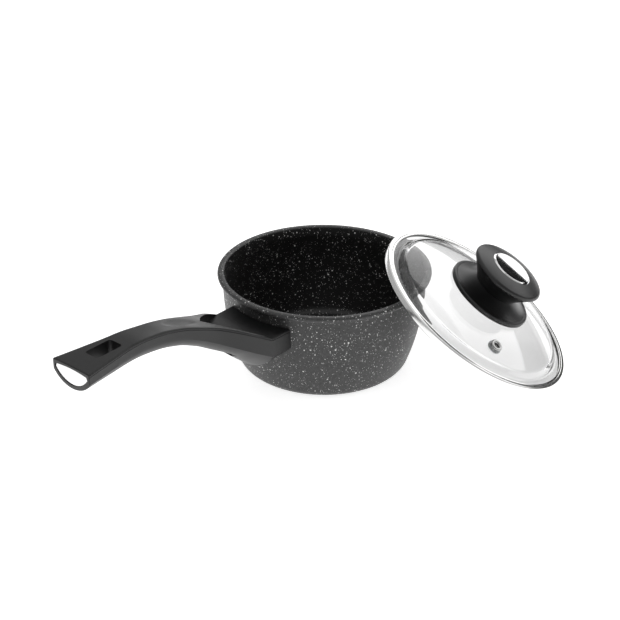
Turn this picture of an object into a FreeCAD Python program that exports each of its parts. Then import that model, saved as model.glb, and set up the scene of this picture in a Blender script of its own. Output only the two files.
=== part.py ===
"""Saucepan with a loose glass lid.

Row frame: +Z up, millimetres, origin at the centre of the pan's foot. The handle points along -X.
The pan stands on Z = 0 and the lid leans against its lip with its band's lowest point on Z = 0.
The lid's pieces are drawn in the lid's own frame (Z along its axis, 0 at the band's underside) and
each is placed by the same lean.
"""
import FreeCAD, Part
import math
import os
from types import SimpleNamespace

import Sketcher

SIZES = {
    # pan
    "pan_height": 76.0,
    "rim_outer_radius": 81.0,
    "lip_width": 5.4,
    "lip_round": 1.85,
    "lip_flare": 4.1,
    "lip_drop": 6.5,
    "wall_thickness": 2.6,
    "wall_bow_radius": 165.0,
    "base_thickness": 4.5,
    "foot_radius": 57.0,
    "heel_run": 9.6,
    "heel_rise": 7.6,
    "mouth_round": 1.6,
    "inner_heel_run": 6.6,
    "inner_heel_rise": 5.0,
    "inner_heel_radius": 7.2,
    # perforated steel disc pressed into the foot
    "disc_radius": 50.0,
    "disc_thickness": 0.8,
    "disc_hole_radius": 1.6,
    "disc_ring_pitch": 10.0,
    # how far a cut runs on past the face it opens
    "cut_over": 2.0,
    # handle: block at the wall, neck, grip; every reach is counted outwards from the lip's edge
    "block_reach": 9.0,
    "block_start": -22.0,
    "block_taper": 1.6,
    "block_rake": 0.6,
    "block_undercut": 3.0,
    "block_wall_gap": 0.15,
    "block_width": 56.0,
    "block_top": 64.0,
    "block_side": 16.0,
    "block_depth": 31.0,
    "grip_reach": 170.0,
    "grip_rise": 37.6,
    "waist_width": 20.0,
    "tip_width": 35.4,
    "grip_depth": 17.5,
    "grip_side": 8.0,
    "neck_hole_width": 20.0,
    "neck_hole_start": 27.0,
    "neck_hole_end": 50.0,
    "neck_recess_inset": 1.6,
    "neck_recess_end": 53.0,
    "neck_recess_bow": 91.0,
    "hang_slot_start": 130.3,
    "hang_slot_length": 22.4,
    "hang_slot_width": 12.4,
    "hang_slot_corner": 2.5,
    "dimple_reach": 73.0,
    "dimple_rise": 29.2,
    "dimple_slope": 17.5,
    "dimple_length": 29.0,
    "dimple_width": 11.0,
    "dimple_depth": 1.6,
    "plate_inset_side": 2.2,
    "plate_inset_top": 3.4,
    "plate_inset_bottom": 3.2,
    "plate_side": 2.2,
    "plate_corner": 0.8,
    "plate_arch": 1.2,
    "plate_thickness": 1.2,
    "plate_recess": 1.6,
    # bracket and screw that hold the handle
    "bracket_width": 26.0,
    "bracket_height": 14.0,
    "bracket_reach": 3.0,
    "bracket_clearance": 0.3,
    "screw_height": 50.0,
    "screw_radius": 2.5,
    "screw_clearance": 0.3,
    "handle_screw_seat": 10.0,
    "handle_screw_head_radius": 4.4,
    "handle_screw_head_height": 3.2,
    "handle_screw_grip": 12.5,
    "lock_washer_thickness": 1.3,
    "lock_washer_slit": 0.8,
    "head_clearance": 0.8,
    "drive_width": 1.1,
    "drive_length": 4.8,
    "drive_depth": 1.9,
    # lid
    "lid_overhang": 1.5,
    "band_steel": 0.5,
    "band_top_width": 4.8,
    "band_bottom_width": 4.4,
    "band_round": 1.3,
    "liner_thickness": 0.4,
    "liner_width": 3.6,
    "glass_thickness": 4.0,
    "dome_radius": 69.5,
    "dome_edge_height": 9.6,
    "dome_height": 21.0,
    "shoulder_run": 3.7,
    "shoulder_inset_low": 1.96,
    "shoulder_inset_high": 2.4,
    "vent_reach": 55.0,
    "vent_angle": -72.3,
    "vent_hole_radius": 2.8,
    "eyelet_flange_radius": 4.7,
    "eyelet_bore_radius": 1.9,
    "eyelet_steel": 0.6,
    "eyelet_roll": 1.2,
    "eyelet_mouth": 0.5,
    "eyelet_bead": 0.96,
    "vent_washer_radius": 5.4,
    "vent_washer_thickness": 0.8,
    # knob
    "knob_hole_radius": 4.0,
    "gasket_thickness": 1.2,
    "gasket_radius": 12.5,
    "skirt_radius": 33.8,
    "skirt_gap": 0.5,
    "skirt_lip": 3.6,
    "skirt_shell": 3.0,
    "skirt_roof": 2.2,
    "skirt_chamfer": 0.6,
    "skirt_sweep": 2.1,
    "skirt_rise": 6.6,
    "boss_height": 2.5,
    "neck_radius": 18.0,
    "head_radius": 29.7,
    "head_height": 14.9,
    "head_crown": 4.0,
    "head_round": 2.2,
    "head_round_inset_low": 0.9,
    "head_round_inset_high": 1.65,
    "head_round_rise": 1.2,
    "top_plate_radius": 16.6,
    "top_plate_thickness": 1.6,
    "top_plate_stand": 0.4,
    "top_plate_bevel": 0.6,
    "insert_radius": 4.6,
    "insert_length": 14.0,
    "knob_screw_head_radius": 4.6,
    "knob_screw_head_height": 3.0,
    "knob_screw_head_flat": 3.2,
    "knob_screw_head_side": 1.2,
    "knob_screw_head_round": 3.45,
    "knob_screw_grip": 11.0,
    "under_gasket_radius": 9.0,
    "under_gasket_thickness": 1.5,
    "knob_washer_radius": 8.0,
    "knob_washer_thickness": 1.2,
    # how the lid leans
    "lean_tilt": 33.74,
    "lean_azimuth": -60.6,
    "lid_azimuth": -56.5,
    "lean_gap": 0.4,
}

# Sizes that are counted outwards from the lip's edge.
FROM_LIP = (
    "block_reach",
    "block_start",
    "grip_reach",
    "neck_hole_start",
    "neck_hole_end",
    "neck_recess_end",
    "hang_slot_start",
    "dimple_reach",
    "bracket_reach",
    "handle_screw_seat",
)

# Grip stations from the block to the tip: share of the way along, share of the change in width,
# share of the rise, side height and depth as shares of the way from the block's to the grip's.
# Up to the waist the width falls from the block's to the waist's, past it it grows to the tip's.
NECK_STATIONS = (
    (0.062, 0.87, 0.146, 0.00, 0.21),
    (0.124, 0.69, 0.287, 0.05, 0.43),
    (0.186, 0.43, 0.415, 0.15, 0.58),
    (0.248, 0.24, 0.532, 0.30, 0.72),
    (0.323, 0.14, 0.655, 0.62, 0.92),
    (0.435, 0.04, 0.819, 0.86, 1.04),
    (0.559, 0.00, 0.936, 0.92, 1.08),
)
GRIP_STATIONS = (
    (0.714, 0.16, 1.003, 0.92, 1.06),
    (0.870, 0.62, 1.000, 0.96, 1.01),
    (1.000, 1.00, 0.993, 1.00, 1.00),
)


class Size:
    """A number together with the sheet formula that gives it."""

    def __init__(self, value, text=None):
        self.value = float(value)
        self.text = text if text is not None else repr(float(value))

    def joined(self, sign, other, value):
        return Size(value, "(%s %s %s)" % (self.text, sign, other.text))

    def __add__(self, other):
        other = as_size(other)
        return self.joined("+", other, self.value + other.value)

    def __sub__(self, other):
        other = as_size(other)
        return self.joined("-", other, self.value - other.value)

    def __mul__(self, other):
        other = as_size(other)
        return self.joined("*", other, self.value * other.value)

    def __truediv__(self, other):
        other = as_size(other)
        return self.joined("/", other, self.value / other.value)

    def __radd__(self, other):
        return as_size(other) + self

    def __rsub__(self, other):
        return as_size(other) - self

    def __rmul__(self, other):
        return as_size(other) * self

    def __neg__(self):
        return Size(-self.value, "(-1 * %s)" % self.text)


def as_size(number):
    """A Size from a Size or a plain number."""
    return number if isinstance(number, Size) else Size(number)


def root(number):
    """Square root of a Size."""
    return Size(math.sqrt(number.value), "sqrt(%s)" % number.text)


def sheet_of_sizes(doc):
    """The spreadsheet of driving sizes, and the same sizes as named values."""
    sheet = doc.addObject("Spreadsheet::Sheet", "Sizes")
    named = SimpleNamespace()
    for row, (name, number) in enumerate(SIZES.items(), start=1):
        sheet.set("A%d" % row, name)
        sheet.set("B%d" % row, str(number))
        sheet.setAlias("B%d" % row, name)
        setattr(named, name, Size(number, "Sizes.%s" % name))
    for name in FROM_LIP:
        setattr(named, name, named.rim_outer_radius + getattr(named, name))
    doc.recompute()
    return sheet, named


def bind(thing, prop, size):
    """Tie a property of an object to the sheet."""
    thing.setExpression(prop, as_size(size).text)


def new_body(doc, label):
    """A PartDesign body whose label is its node's name."""
    body = doc.addObject("PartDesign::Body", label.title().replace("_", ""))
    body.Label = label
    return body


def origin_plane(body, role):
    """One of the body's own origin planes, by its role."""
    for feature in body.Origin.OriginFeatures:
        if feature.Role == role:
            return feature
    raise ValueError("no origin plane " + role)


def new_sketch(body, name, role, offset=None, turn=None):
    """A sketch on one of the body's own planes, moved along its normal by a bound offset."""
    sketch = body.newObject("Sketcher::SketchObject", name)
    sketch.AttachmentSupport = [(origin_plane(body, role), "")]
    sketch.MapMode = "FlatFace"
    if turn is not None:
        sketch.AttachmentOffset = turn
    if offset is not None:
        bind(sketch, "AttachmentOffset.Base.z", offset)
    return sketch


def pin(sketch, axis, geo, pos, size):
    """Hold one coordinate of a sketch point at a size, measured from the origin."""
    size = as_size(size)
    if size.value == 0.0:
        sketch.addConstraint(Sketcher.Constraint("PointOnObject", geo, pos, -2 if axis == "X" else -1))
        return
    kind = "Distance" + axis
    if size.value > 0:
        index = sketch.addConstraint(Sketcher.Constraint(kind, -1, 1, geo, pos, size.value))
        sketch.setExpression("Constraints[%d]" % index, size.text)
    else:
        index = sketch.addConstraint(Sketcher.Constraint(kind, geo, pos, -1, 1, -size.value))
        sketch.setExpression("Constraints[%d]" % index, (-size).text)


def arc_centre(start, end, radius, turn):
    """Centre of the short arc from start to end: turn +1 goes anticlockwise, -1 clockwise."""
    along = (end - start) * 0.5
    left = FreeCAD.Vector(-along.y, along.x, 0).normalize()
    reach = math.sqrt(max(radius ** 2 - along.Length ** 2, 0.0))
    return (start + end) * 0.5 + left * (reach * turn)


def outline(sketch, points):
    """Draw a closed outline.

    Each point is (u, v) for a straight line from the point before it, or (u, v, radius, turn) for a
    short arc. The last point joins the first by a straight line, or by an arc if the first has one.
    """
    spots = [FreeCAD.Vector(as_size(p[0]).value, as_size(p[1]).value, 0) for p in points]
    ends = []
    for i, point in enumerate(points):
        start, end = spots[i - 1], spots[i]
        if len(point) == 2:
            geo = sketch.addGeometry(Part.LineSegment(start, end))
            ends.append((geo, 1, 2))
            continue
        radius, turn = as_size(point[2]), point[3]
        centre = arc_centre(start, end, radius.value, turn)
        first, last = (start, end) if turn > 0 else (end, start)
        angles = [math.atan2(p.y - centre.y, p.x - centre.x) for p in (first, last)]
        circle = Part.Circle(centre, FreeCAD.Vector(0, 0, 1), radius.value)
        geo = sketch.addGeometry(Part.ArcOfCircle(circle, angles[0], angles[1]))
        ends.append((geo, 1, 2) if turn > 0 else (geo, 2, 1))
        index = sketch.addConstraint(Sketcher.Constraint("Radius", geo, radius.value))
        sketch.setExpression("Constraints[%d]" % index, radius.text)
    for i, point in enumerate(points):
        geo, _, tail = ends[i]
        following, head, _ = ends[(i + 1) % len(points)]
        sketch.addConstraint(Sketcher.Constraint("Coincident", geo, tail, following, head))
        pin(sketch, "X", geo, tail, point[0])
        pin(sketch, "Y", geo, tail, point[1])
    return sketch


def circle_in(sketch, u, v, radius):
    """Draw one circle at (u, v)."""
    spot = FreeCAD.Vector(as_size(u).value, as_size(v).value, 0)
    geo = sketch.addGeometry(Part.Circle(spot, FreeCAD.Vector(0, 0, 1), as_size(radius).value))
    index = sketch.addConstraint(Sketcher.Constraint("Radius", geo, as_size(radius).value))
    sketch.setExpression("Constraints[%d]" % index, as_size(radius).text)
    pin(sketch, "X", geo, 3, u)
    pin(sketch, "Y", geo, 3, v)
    return sketch


def turned(body, name, points, kind="Revolution"):
    """Revolve (or groove away) a half section drawn on the body's XZ plane about its Z axis."""
    sketch = outline(new_sketch(body, name + "Profile", "XZ_Plane"), points)
    feature = body.newObject("PartDesign::" + kind, name)
    feature.Profile = sketch
    feature.ReferenceAxis = (sketch, ["V_Axis"])
    feature.Angle = 360.0
    return feature


def cut_through(body, name, sketch, reverse=False, midplane=False, length=None):
    """Pocket a sketch, through everything or to a length, and check that it removes material."""
    body.Document.recompute()
    before = body.Shape.Volume
    pocket = body.newObject("PartDesign::Pocket", name)
    pocket.Profile = sketch
    pocket.Type = 0 if length is not None else 1
    if length is not None:
        bind(pocket, "Length", length)
    pocket.Reversed = reverse
    pocket.Midplane = midplane
    body.Document.recompute()
    if not body.Shape.Volume < before - 1e-3:
        raise RuntimeError("%s in %s removes nothing" % (name, body.Label))
    return pocket


def ring(doc, label, inner, outer, low, high):
    """A plain ring between two radii and two heights."""
    body = new_body(doc, label)
    turned(body, "Ring", [(inner, low), (outer, low), (outer, high), (inner, high)])
    return body


def cross_recess(body, d, role, offset, height):
    """A cross-shaped driver recess in a screw's head, cut as two crossed slots."""
    half_w = d.drive_width * 0.5
    half_l = d.drive_length * 0.5
    for label, across, along in (("Wide", half_l, half_w), ("Tall", half_w, half_l)):
        sketch = new_sketch(body, "Drive" + label, role, offset)
        outline(sketch, [
            (-across, height - along),
            (across, height - along),
            (across, height + along),
            (-across, height + along),
        ])
        cut_through(body, "Drive%sCut" % label, sketch, reverse=True, length=d.drive_depth)


# ---------------------------------------------------------------- pan

def wall_points(d, gap):
    """Outer wall from the heel up to the neck below the lip, moved out by a gap: two points."""
    foot = (d.foot_radius + d.heel_run + gap, d.heel_rise)
    neck = (d.rim_outer_radius - d.lip_flare + gap, d.pan_height - d.lip_drop)
    return foot, neck


def make_pan_body(doc, d):
    """Cast vessel: flat foot with a shallow recess, rounded heel, bowed wall and beaded lip."""
    body = new_body(doc, "pan_body")
    foot, neck = wall_points(d, 0)
    bead = d.rim_outer_radius - d.lip_round
    bead_low = d.pan_height - d.lip_round * 2
    under_lip = bead - neck[0]
    tuck_rise = bead_low - neck[1]
    tuck_radius = (under_lip * under_lip + tuck_rise * tuck_rise) / (2 * under_lip)
    heel_radius = (d.heel_run * d.heel_run + d.heel_rise * d.heel_rise) / (2 * d.heel_rise)
    inner_rim = d.rim_outer_radius - d.lip_width
    inner_foot = (foot[0] - d.wall_thickness, d.base_thickness + d.inner_heel_rise)
    turned(body, "Vessel", [
        (0, d.disc_thickness),
        (d.disc_radius, d.disc_thickness),
        (d.disc_radius, 0),
        (d.foot_radius, 0),
        (foot[0], foot[1], heel_radius, 1),
        (neck[0], neck[1], d.wall_bow_radius, 1),
        (bead, bead_low, tuck_radius, -1),
        (d.rim_outer_radius, d.pan_height - d.lip_round, d.lip_round, 1),
        (bead, d.pan_height, d.lip_round, 1),
        (inner_rim + d.mouth_round, d.pan_height),
        (inner_rim, d.pan_height - d.mouth_round, d.mouth_round, 1),
        (neck[0] - d.wall_thickness, neck[1]),
        (inner_foot[0], inner_foot[1], d.wall_bow_radius - d.wall_thickness, -1),
        (inner_foot[0] - d.inner_heel_run, d.base_thickness, d.inner_heel_radius, -1),
        (0, d.base_thickness),
    ])
    return body


def make_induction_base(doc, d):
    """Perforated steel disc pressed flush into the foot, with rings of small holes."""
    body = new_body(doc, "induction_base")
    turned(body, "Disc", [
        (0, 0),
        (d.disc_radius, 0),
        (d.disc_radius, d.disc_thickness),
        (0, d.disc_thickness),
    ])
    for ring_number in (1, 2, 3, 4):
        sketch = new_sketch(body, "Hole%d" % ring_number, "XY_Plane")
        circle_in(sketch, d.disc_ring_pitch * ring_number, 0, d.disc_hole_radius)
        hole = cut_through(body, "HoleCut%d" % ring_number, sketch, reverse=True)
        pattern = body.newObject("PartDesign::PolarPattern", "HoleRing%d" % ring_number)
        pattern.Originals = [hole]
        pattern.Axis = (sketch, ["N_Axis"])
        pattern.Angle = 360.0
        pattern.Occurrences = 6 * ring_number
        body.Tip = pattern
    return body


# ---------------------------------------------------------------- handle and its fastening

def wall_groove(body, d, gap):
    """Cut the pan's outer wall, grown by a gap, out of a body that stands against it."""
    foot, neck = wall_points(d, gap)
    body.Document.recompute()
    before = body.Shape.Volume
    turned(body, "WallCut", [
        (0, foot[1]),
        foot,
        (neck[0], neck[1], d.wall_bow_radius, 1),
        (0, neck[1]),
    ], kind="Groove")
    body.Document.recompute()
    if not body.Shape.Volume < before - 1.0:
        raise RuntimeError("the wall cut removes nothing from " + body.Label)


def section(body, name, reach, width, top, side, depth):
    """D-shaped cross-section at x = -reach: flat top, upright sides and a rounded belly."""
    half = width * 0.5
    belly = depth - side
    radius = (half * half + belly * belly) / (2 * belly)
    sketch = new_sketch(body, name, "YZ_Plane", -reach)
    outline(sketch, [
        (half, top),
        (-half, top),
        (-half, top - side),
        (0, top - depth, radius, 1),
        (half, top - side, radius, 1),
    ])
    return sketch


def grip_sections(body, d):
    """Sections of the neck and grip, from the block's outer face to the tip."""
    run = d.grip_reach - d.block_reach
    sections = [section(body, "Grip0", d.block_reach, d.block_width, d.block_top, d.block_side,
                        d.block_depth)]
    stations = [(row, d.block_width) for row in NECK_STATIONS]
    stations += [(row, d.tip_width) for row in GRIP_STATIONS]
    for number, (row, far_width) in enumerate(stations, start=1):
        along, widen, rise, side, depth = row
        sections.append(section(
            body, "Grip%d" % number,
            d.block_reach + run * along,
            d.waist_width + (far_width - d.waist_width) * widen,
            d.block_top + d.grip_rise * rise,
            d.block_side + (d.grip_side - d.block_side) * side,
            d.block_depth + (d.grip_depth - d.block_depth) * depth,
        ))
    return sections


def plate_outline(sketch, d):
    """D-shaped outline of the end plate on the tip: slightly arched top, round belly."""
    tip_top = d.block_top + d.grip_rise * GRIP_STATIONS[-1][2]
    top = tip_top - d.plate_inset_top
    low = tip_top - d.grip_depth + d.plate_inset_bottom
    side = top - d.plate_side
    half = d.tip_width * 0.5 - d.plate_inset_side
    corner = half - d.plate_corner
    belly = side - low
    radius = (half * half + belly * belly) / (2 * belly)
    crown = (corner * corner + d.plate_arch * d.plate_arch) / (2 * d.plate_arch)
    outline(sketch, [
        (corner, top),
        (0, top + d.plate_arch, crown, 1),
        (-corner, top, crown, 1),
        (-half, side),
        (0, low, radius, 1),
        (half, side, radius, 1),
    ])


def make_handle(doc, d):
    """One moulding: block against the wall, forked neck, grip with hang slot and thumb dimple.

    The block's flat top runs on between the neck's two prongs, where a hole leads down through it.
    """
    body = new_body(doc, "handle")
    block = body.newObject("PartDesign::AdditiveLoft", "Block")
    block.Profile = section(body, "BlockInner", d.block_start, d.block_width + d.block_taper,
                            d.block_top - d.block_rake, d.block_side,
                            d.block_depth - d.block_undercut)
    block.Sections = [section(body, "BlockOuter", d.block_reach, d.block_width, d.block_top,
                              d.block_side, d.block_depth)]
    block.Ruled = True
    sections = grip_sections(body, d)
    grip = body.newObject("PartDesign::AdditiveLoft", "Grip")
    grip.Profile = sections[0]
    grip.Sections = sections[1:]
    wall_groove(body, d, d.block_wall_gap)

    half = d.neck_hole_width * 0.5
    run = d.neck_hole_end - d.neck_hole_start
    lens = (half * half + run * run) / (2 * half)
    neck = new_sketch(body, "NeckHole", "XY_Plane")
    outline(neck, [
        (-d.neck_hole_start, half),
        (-d.neck_hole_end, 0, lens, 1),
        (-d.neck_hole_start, -half, lens, 1),
    ])
    cut_through(body, "NeckHoleCut", neck, reverse=True)
    prong = d.block_width * 0.5 - d.neck_recess_inset
    recess = new_sketch(body, "NeckRecess", "XY_Plane", d.block_top)
    outline(recess, [
        (-d.block_reach, prong),
        (-d.neck_recess_end, 0, d.neck_recess_bow, 1),
        (-d.block_reach, -prong, d.neck_recess_bow, 1),
    ])
    cut_through(body, "NeckRecessCut", recess, reverse=True)

    slot = new_sketch(body, "HangSlot", "XY_Plane")
    near = d.hang_slot_start
    far = d.hang_slot_start + d.hang_slot_length
    side = d.hang_slot_width * 0.5
    corner = d.hang_slot_corner
    outline(slot, [
        (-far + corner, side),
        (-far, side - corner, corner, 1),
        (-far, -side + corner),
        (-far + corner, -side, corner, 1),
        (-near - corner, -side),
        (-near, -side + corner, corner, 1),
        (-near, side - corner),
        (-near - corner, side, corner, 1),
    ])
    cut_through(body, "HangSlotCut", slot, reverse=True)

    cavity_w = d.bracket_width * 0.5 + d.bracket_clearance
    cavity_h = d.bracket_height * 0.5 + d.bracket_clearance
    cavity = new_sketch(body, "BracketCavity", "YZ_Plane")
    outline(cavity, [
        (-cavity_w, d.screw_height - cavity_h),
        (cavity_w, d.screw_height - cavity_h),
        (cavity_w, d.screw_height + cavity_h),
        (-cavity_w, d.screw_height + cavity_h),
    ])
    cut_through(body, "BracketCavityCut", cavity, length=d.bracket_reach + d.bracket_clearance)
    bore = circle_in(new_sketch(body, "ScrewBore", "YZ_Plane"), 0, d.screw_height,
                     d.screw_radius + d.screw_clearance)
    cut_through(body, "ScrewBoreCut", bore, length=d.neck_hole_start + d.cut_over)
    seat_mouth = d.neck_hole_start + d.cut_over * 2
    seat = circle_in(new_sketch(body, "ScrewSeat", "YZ_Plane", -seat_mouth), 0,
                     d.screw_height, d.handle_screw_head_radius + d.head_clearance)
    cut_through(body, "ScrewSeatCut", seat, reverse=True, length=seat_mouth - d.handle_screw_seat)

    pocket = new_sketch(body, "PlateRecess", "YZ_Plane", -d.grip_reach)
    plate_outline(pocket, d)
    cut_through(body, "PlateRecessCut", pocket, reverse=True, length=d.plate_recess)
    thumb_dimple(body, d)
    return body


def thumb_dimple(body, d):
    """Shallow oval hollow in the neck's upper face, cut by an ellipsoid centred on that face."""
    before = body.Shape.Volume
    hollow = body.newObject("PartDesign::SubtractiveEllipsoid", "Dimple")
    hollow.AttachmentSupport = [(origin_plane(body, "XY_Plane"), "")]
    hollow.MapMode = "FlatFace"
    bind(hollow, "AttachmentOffset.Base.x", -d.dimple_reach)
    bind(hollow, "AttachmentOffset.Base.z", d.block_top + d.dimple_rise)
    hollow.AttachmentOffset = FreeCAD.Placement(
        FreeCAD.Vector(-d.dimple_reach.value, 0, (d.block_top + d.dimple_rise).value),
        FreeCAD.Rotation(FreeCAD.Vector(0, 1, 0), d.dimple_slope.value),
    )
    bind(hollow, "Radius1", d.dimple_depth)
    bind(hollow, "Radius2", d.dimple_length * 0.5)
    bind(hollow, "Radius3", d.dimple_width * 0.5)
    body.Document.recompute()
    if not body.Shape.Volume < before - 1.0:
        raise RuntimeError("the dimple removes nothing from " + body.Label)


def make_handle_end_plate(doc, d):
    """Bright plate that lies in the tip's recess, a little below its edge."""
    body = new_body(doc, "handle_end_plate")
    sketch = new_sketch(body, "Plate", "YZ_Plane", -d.grip_reach + d.plate_recess)
    plate_outline(sketch, d)
    pad = body.newObject("PartDesign::Pad", "PlatePad")
    pad.Profile = sketch
    bind(pad, "Length", d.plate_thickness)
    pad.Reversed = True
    return body


def make_handle_bracket(doc, d):
    """Steel boss welded to the wall, with the thread that the handle's screw goes into."""
    body = new_body(doc, "handle_bracket")
    half_w = d.bracket_width * 0.5
    half_h = d.bracket_height * 0.5
    sketch = new_sketch(body, "Boss", "YZ_Plane")
    outline(sketch, [
        (-half_w, d.screw_height - half_h),
        (half_w, d.screw_height - half_h),
        (half_w, d.screw_height + half_h),
        (-half_w, d.screw_height + half_h),
    ])
    pad = body.newObject("PartDesign::Pad", "BossPad")
    pad.Profile = sketch
    bind(pad, "Length", d.bracket_reach)
    pad.Reversed = True
    wall_groove(body, d, 0)
    bore = circle_in(new_sketch(body, "Thread", "YZ_Plane", -d.bracket_reach - d.cut_over), 0,
                     d.screw_height, d.screw_radius)
    thread = d.handle_screw_grip - (d.handle_screw_seat - d.bracket_reach)
    cut_through(body, "ThreadCut", bore, reverse=True, length=d.cut_over + thread)
    return body


def make_handle_screw(doc, d):
    """Pan-head screw along X: shank through the block into the bracket, head in its seat."""
    body = new_body(doc, "handle_screw")
    head_start = d.handle_screw_seat + d.lock_washer_thickness
    head_end = head_start + d.handle_screw_head_height
    shank_end = d.handle_screw_seat - d.handle_screw_grip
    head = circle_in(new_sketch(body, "Head", "YZ_Plane", -head_start), 0, d.screw_height,
                     d.handle_screw_head_radius)
    pad = body.newObject("PartDesign::Pad", "HeadPad")
    pad.Profile = head
    bind(pad, "Length", d.handle_screw_head_height)
    pad.Reversed = True
    shank = circle_in(new_sketch(body, "Shank", "YZ_Plane", -head_start), 0, d.screw_height,
                      d.screw_radius)
    pad = body.newObject("PartDesign::Pad", "ShankPad")
    pad.Profile = shank
    bind(pad, "Length", head_start - shank_end)
    cross_recess(body, d, "YZ_Plane", -head_end, d.screw_height)
    return body


def make_handle_lock_washer(doc, d):
    """Spring washer under the screw's head, with its slit."""
    body = new_body(doc, "handle_lock_washer")
    sketch = new_sketch(body, "Washer", "YZ_Plane", -d.handle_screw_seat)
    circle_in(sketch, 0, d.screw_height, d.handle_screw_head_radius)
    circle_in(sketch, 0, d.screw_height, d.screw_radius + d.screw_clearance)
    pad = body.newObject("PartDesign::Pad", "WasherPad")
    pad.Profile = sketch
    bind(pad, "Length", d.lock_washer_thickness)
    pad.Reversed = True
    slit = new_sketch(body, "Slit", "YZ_Plane", -d.handle_screw_seat)
    half = d.lock_washer_slit * 0.5
    slit_top = d.screw_height + d.handle_screw_head_radius + d.cut_over
    outline(slit, [
        (-half, d.screw_height),
        (half, d.screw_height),
        (half, slit_top),
        (-half, slit_top),
    ])
    cut_through(body, "SlitCut", slit, midplane=True, length=d.lock_washer_thickness * 3)
    return body


# ---------------------------------------------------------------- lid, in its own frame

def lid_frame(d):
    """Sizes of the lid that several of its pieces share."""
    g = SimpleNamespace()
    g.radius = d.rim_outer_radius + d.lid_overhang
    g.seat = d.band_steel + d.liner_thickness
    g.band_height = d.glass_thickness + 2 * g.seat
    g.edge_radius = g.radius - g.seat
    g.edge_top = g.seat + d.glass_thickness
    rise = d.dome_height - d.dome_edge_height
    g.sphere = (d.dome_radius * d.dome_radius + rise * rise) / (2 * rise)
    g.sphere_under = g.sphere - d.glass_thickness
    g.under_height = d.dome_height - d.glass_thickness
    return g


def dome_top(d, g, radius):
    """Height of the glass's upper face at a radius."""
    radius = as_size(radius)
    return d.dome_height - g.sphere + root(g.sphere * g.sphere - radius * radius)


def dome_under(d, g, radius):
    """Height of the glass's lower face at a radius under the dome."""
    radius = as_size(radius)
    return d.dome_height - g.sphere + root(g.sphere_under * g.sphere_under - radius * radius)


def make_lid_glass(doc, d, g):
    """Tempered glass: flat edge held in the band, steep shoulder, shallow dome, two holes."""
    body = new_body(doc, "lid_glass")
    flat_in = d.dome_radius + d.shoulder_run
    under_flat_in = flat_in - d.shoulder_inset_low
    under_dome = d.dome_radius - d.shoulder_inset_high
    hole = d.knob_hole_radius
    turned(body, "Pane", [
        (hole, dome_under(d, g, hole)),
        (under_dome, dome_under(d, g, under_dome), g.sphere_under, -1),
        (under_flat_in, g.seat),
        (g.edge_radius, g.seat),
        (g.edge_radius, g.edge_top),
        (flat_in, g.edge_top),
        (d.dome_radius, d.dome_edge_height),
        (hole, dome_top(d, g, hole), g.sphere, 1),
    ])
    vent = new_sketch(body, "VentHole", "XY_Plane", turn=vent_place(d, g))
    circle_in(vent, 0, 0, d.vent_hole_radius)
    cut_through(body, "VentHoleCut", vent, midplane=True, length=d.glass_thickness * 4)
    return body


def vent_place(d, g):
    """Place on the glass's upper face at the vent, with Z along the dome's normal there."""
    slope = math.degrees(math.asin(d.vent_reach.value / g.sphere.value))
    turn = FreeCAD.Rotation(d.vent_angle.value, slope, 0)
    reach = d.vent_reach.value
    angle = math.radians(d.vent_angle.value)
    spot = FreeCAD.Vector(reach * math.cos(angle), reach * math.sin(angle),
                          dome_top(d, g, d.vent_reach).value)
    return FreeCAD.Placement(spot, turn)


def make_lid_rim(doc, d, g):
    """Stainless band of U section, crimped round the glass, open towards the centre."""
    body = new_body(doc, "lid_rim")
    outer, steel, bend = g.radius, d.band_steel, d.band_round
    inner_bend = bend - steel
    turned(body, "Band", [
        (outer - d.band_bottom_width, 0),
        (outer - bend, 0),
        (outer, bend, bend, 1),
        (outer, g.band_height - bend),
        (outer - bend, g.band_height, bend, 1),
        (outer - d.band_top_width, g.band_height),
        (outer - d.band_top_width, g.band_height - steel),
        (outer - bend, g.band_height - steel),
        (outer - steel, g.band_height - bend, inner_bend, -1),
        (outer - steel, bend),
        (outer - bend, steel, inner_bend, -1),
        (outer - d.band_bottom_width, steel),
    ])
    return body


def make_lid_rim_liner(doc, d, g):
    """Thin sealing strip folded round the glass's edge inside the band."""
    body = new_body(doc, "lid_rim_liner")
    outer = g.radius - d.band_steel
    bend = d.band_round - d.band_steel
    low = d.band_steel
    high = g.band_height - d.band_steel
    turned(body, "Strip", [
        (g.edge_radius - d.liner_width, low),
        (outer - bend, low),
        (outer, low + bend, bend, 1),
        (outer, high - bend),
        (outer - bend, high, bend, 1),
        (g.edge_radius - d.liner_width, high),
        (g.edge_radius - d.liner_width, g.edge_top),
        (g.edge_radius, g.edge_top),
        (g.edge_radius, g.seat),
        (g.edge_radius - d.liner_width, g.seat),
    ])
    return body


def make_vent_eyelet(doc, d, g):
    """Rolled steel eyelet: flange on the glass, tube through it, lower end over the washer."""
    body = new_body(doc, "vent_eyelet")
    bore, steel, flange = d.eyelet_bore_radius, d.eyelet_steel, d.eyelet_flange_radius
    low = -d.glass_thickness - d.vent_washer_thickness
    turned(body, "Eyelet", [
        (bore, low - steel),
        (bore + steel + d.eyelet_roll, low - steel),
        (bore + steel + d.eyelet_roll, low),
        (bore + steel, low),
        (bore + steel, 0),
        (flange, 0),
        (flange - steel, steel * 2, d.eyelet_bead, 1),
        (bore + d.eyelet_mouth, steel * 2),
        (bore, steel),
    ])
    return body


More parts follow.
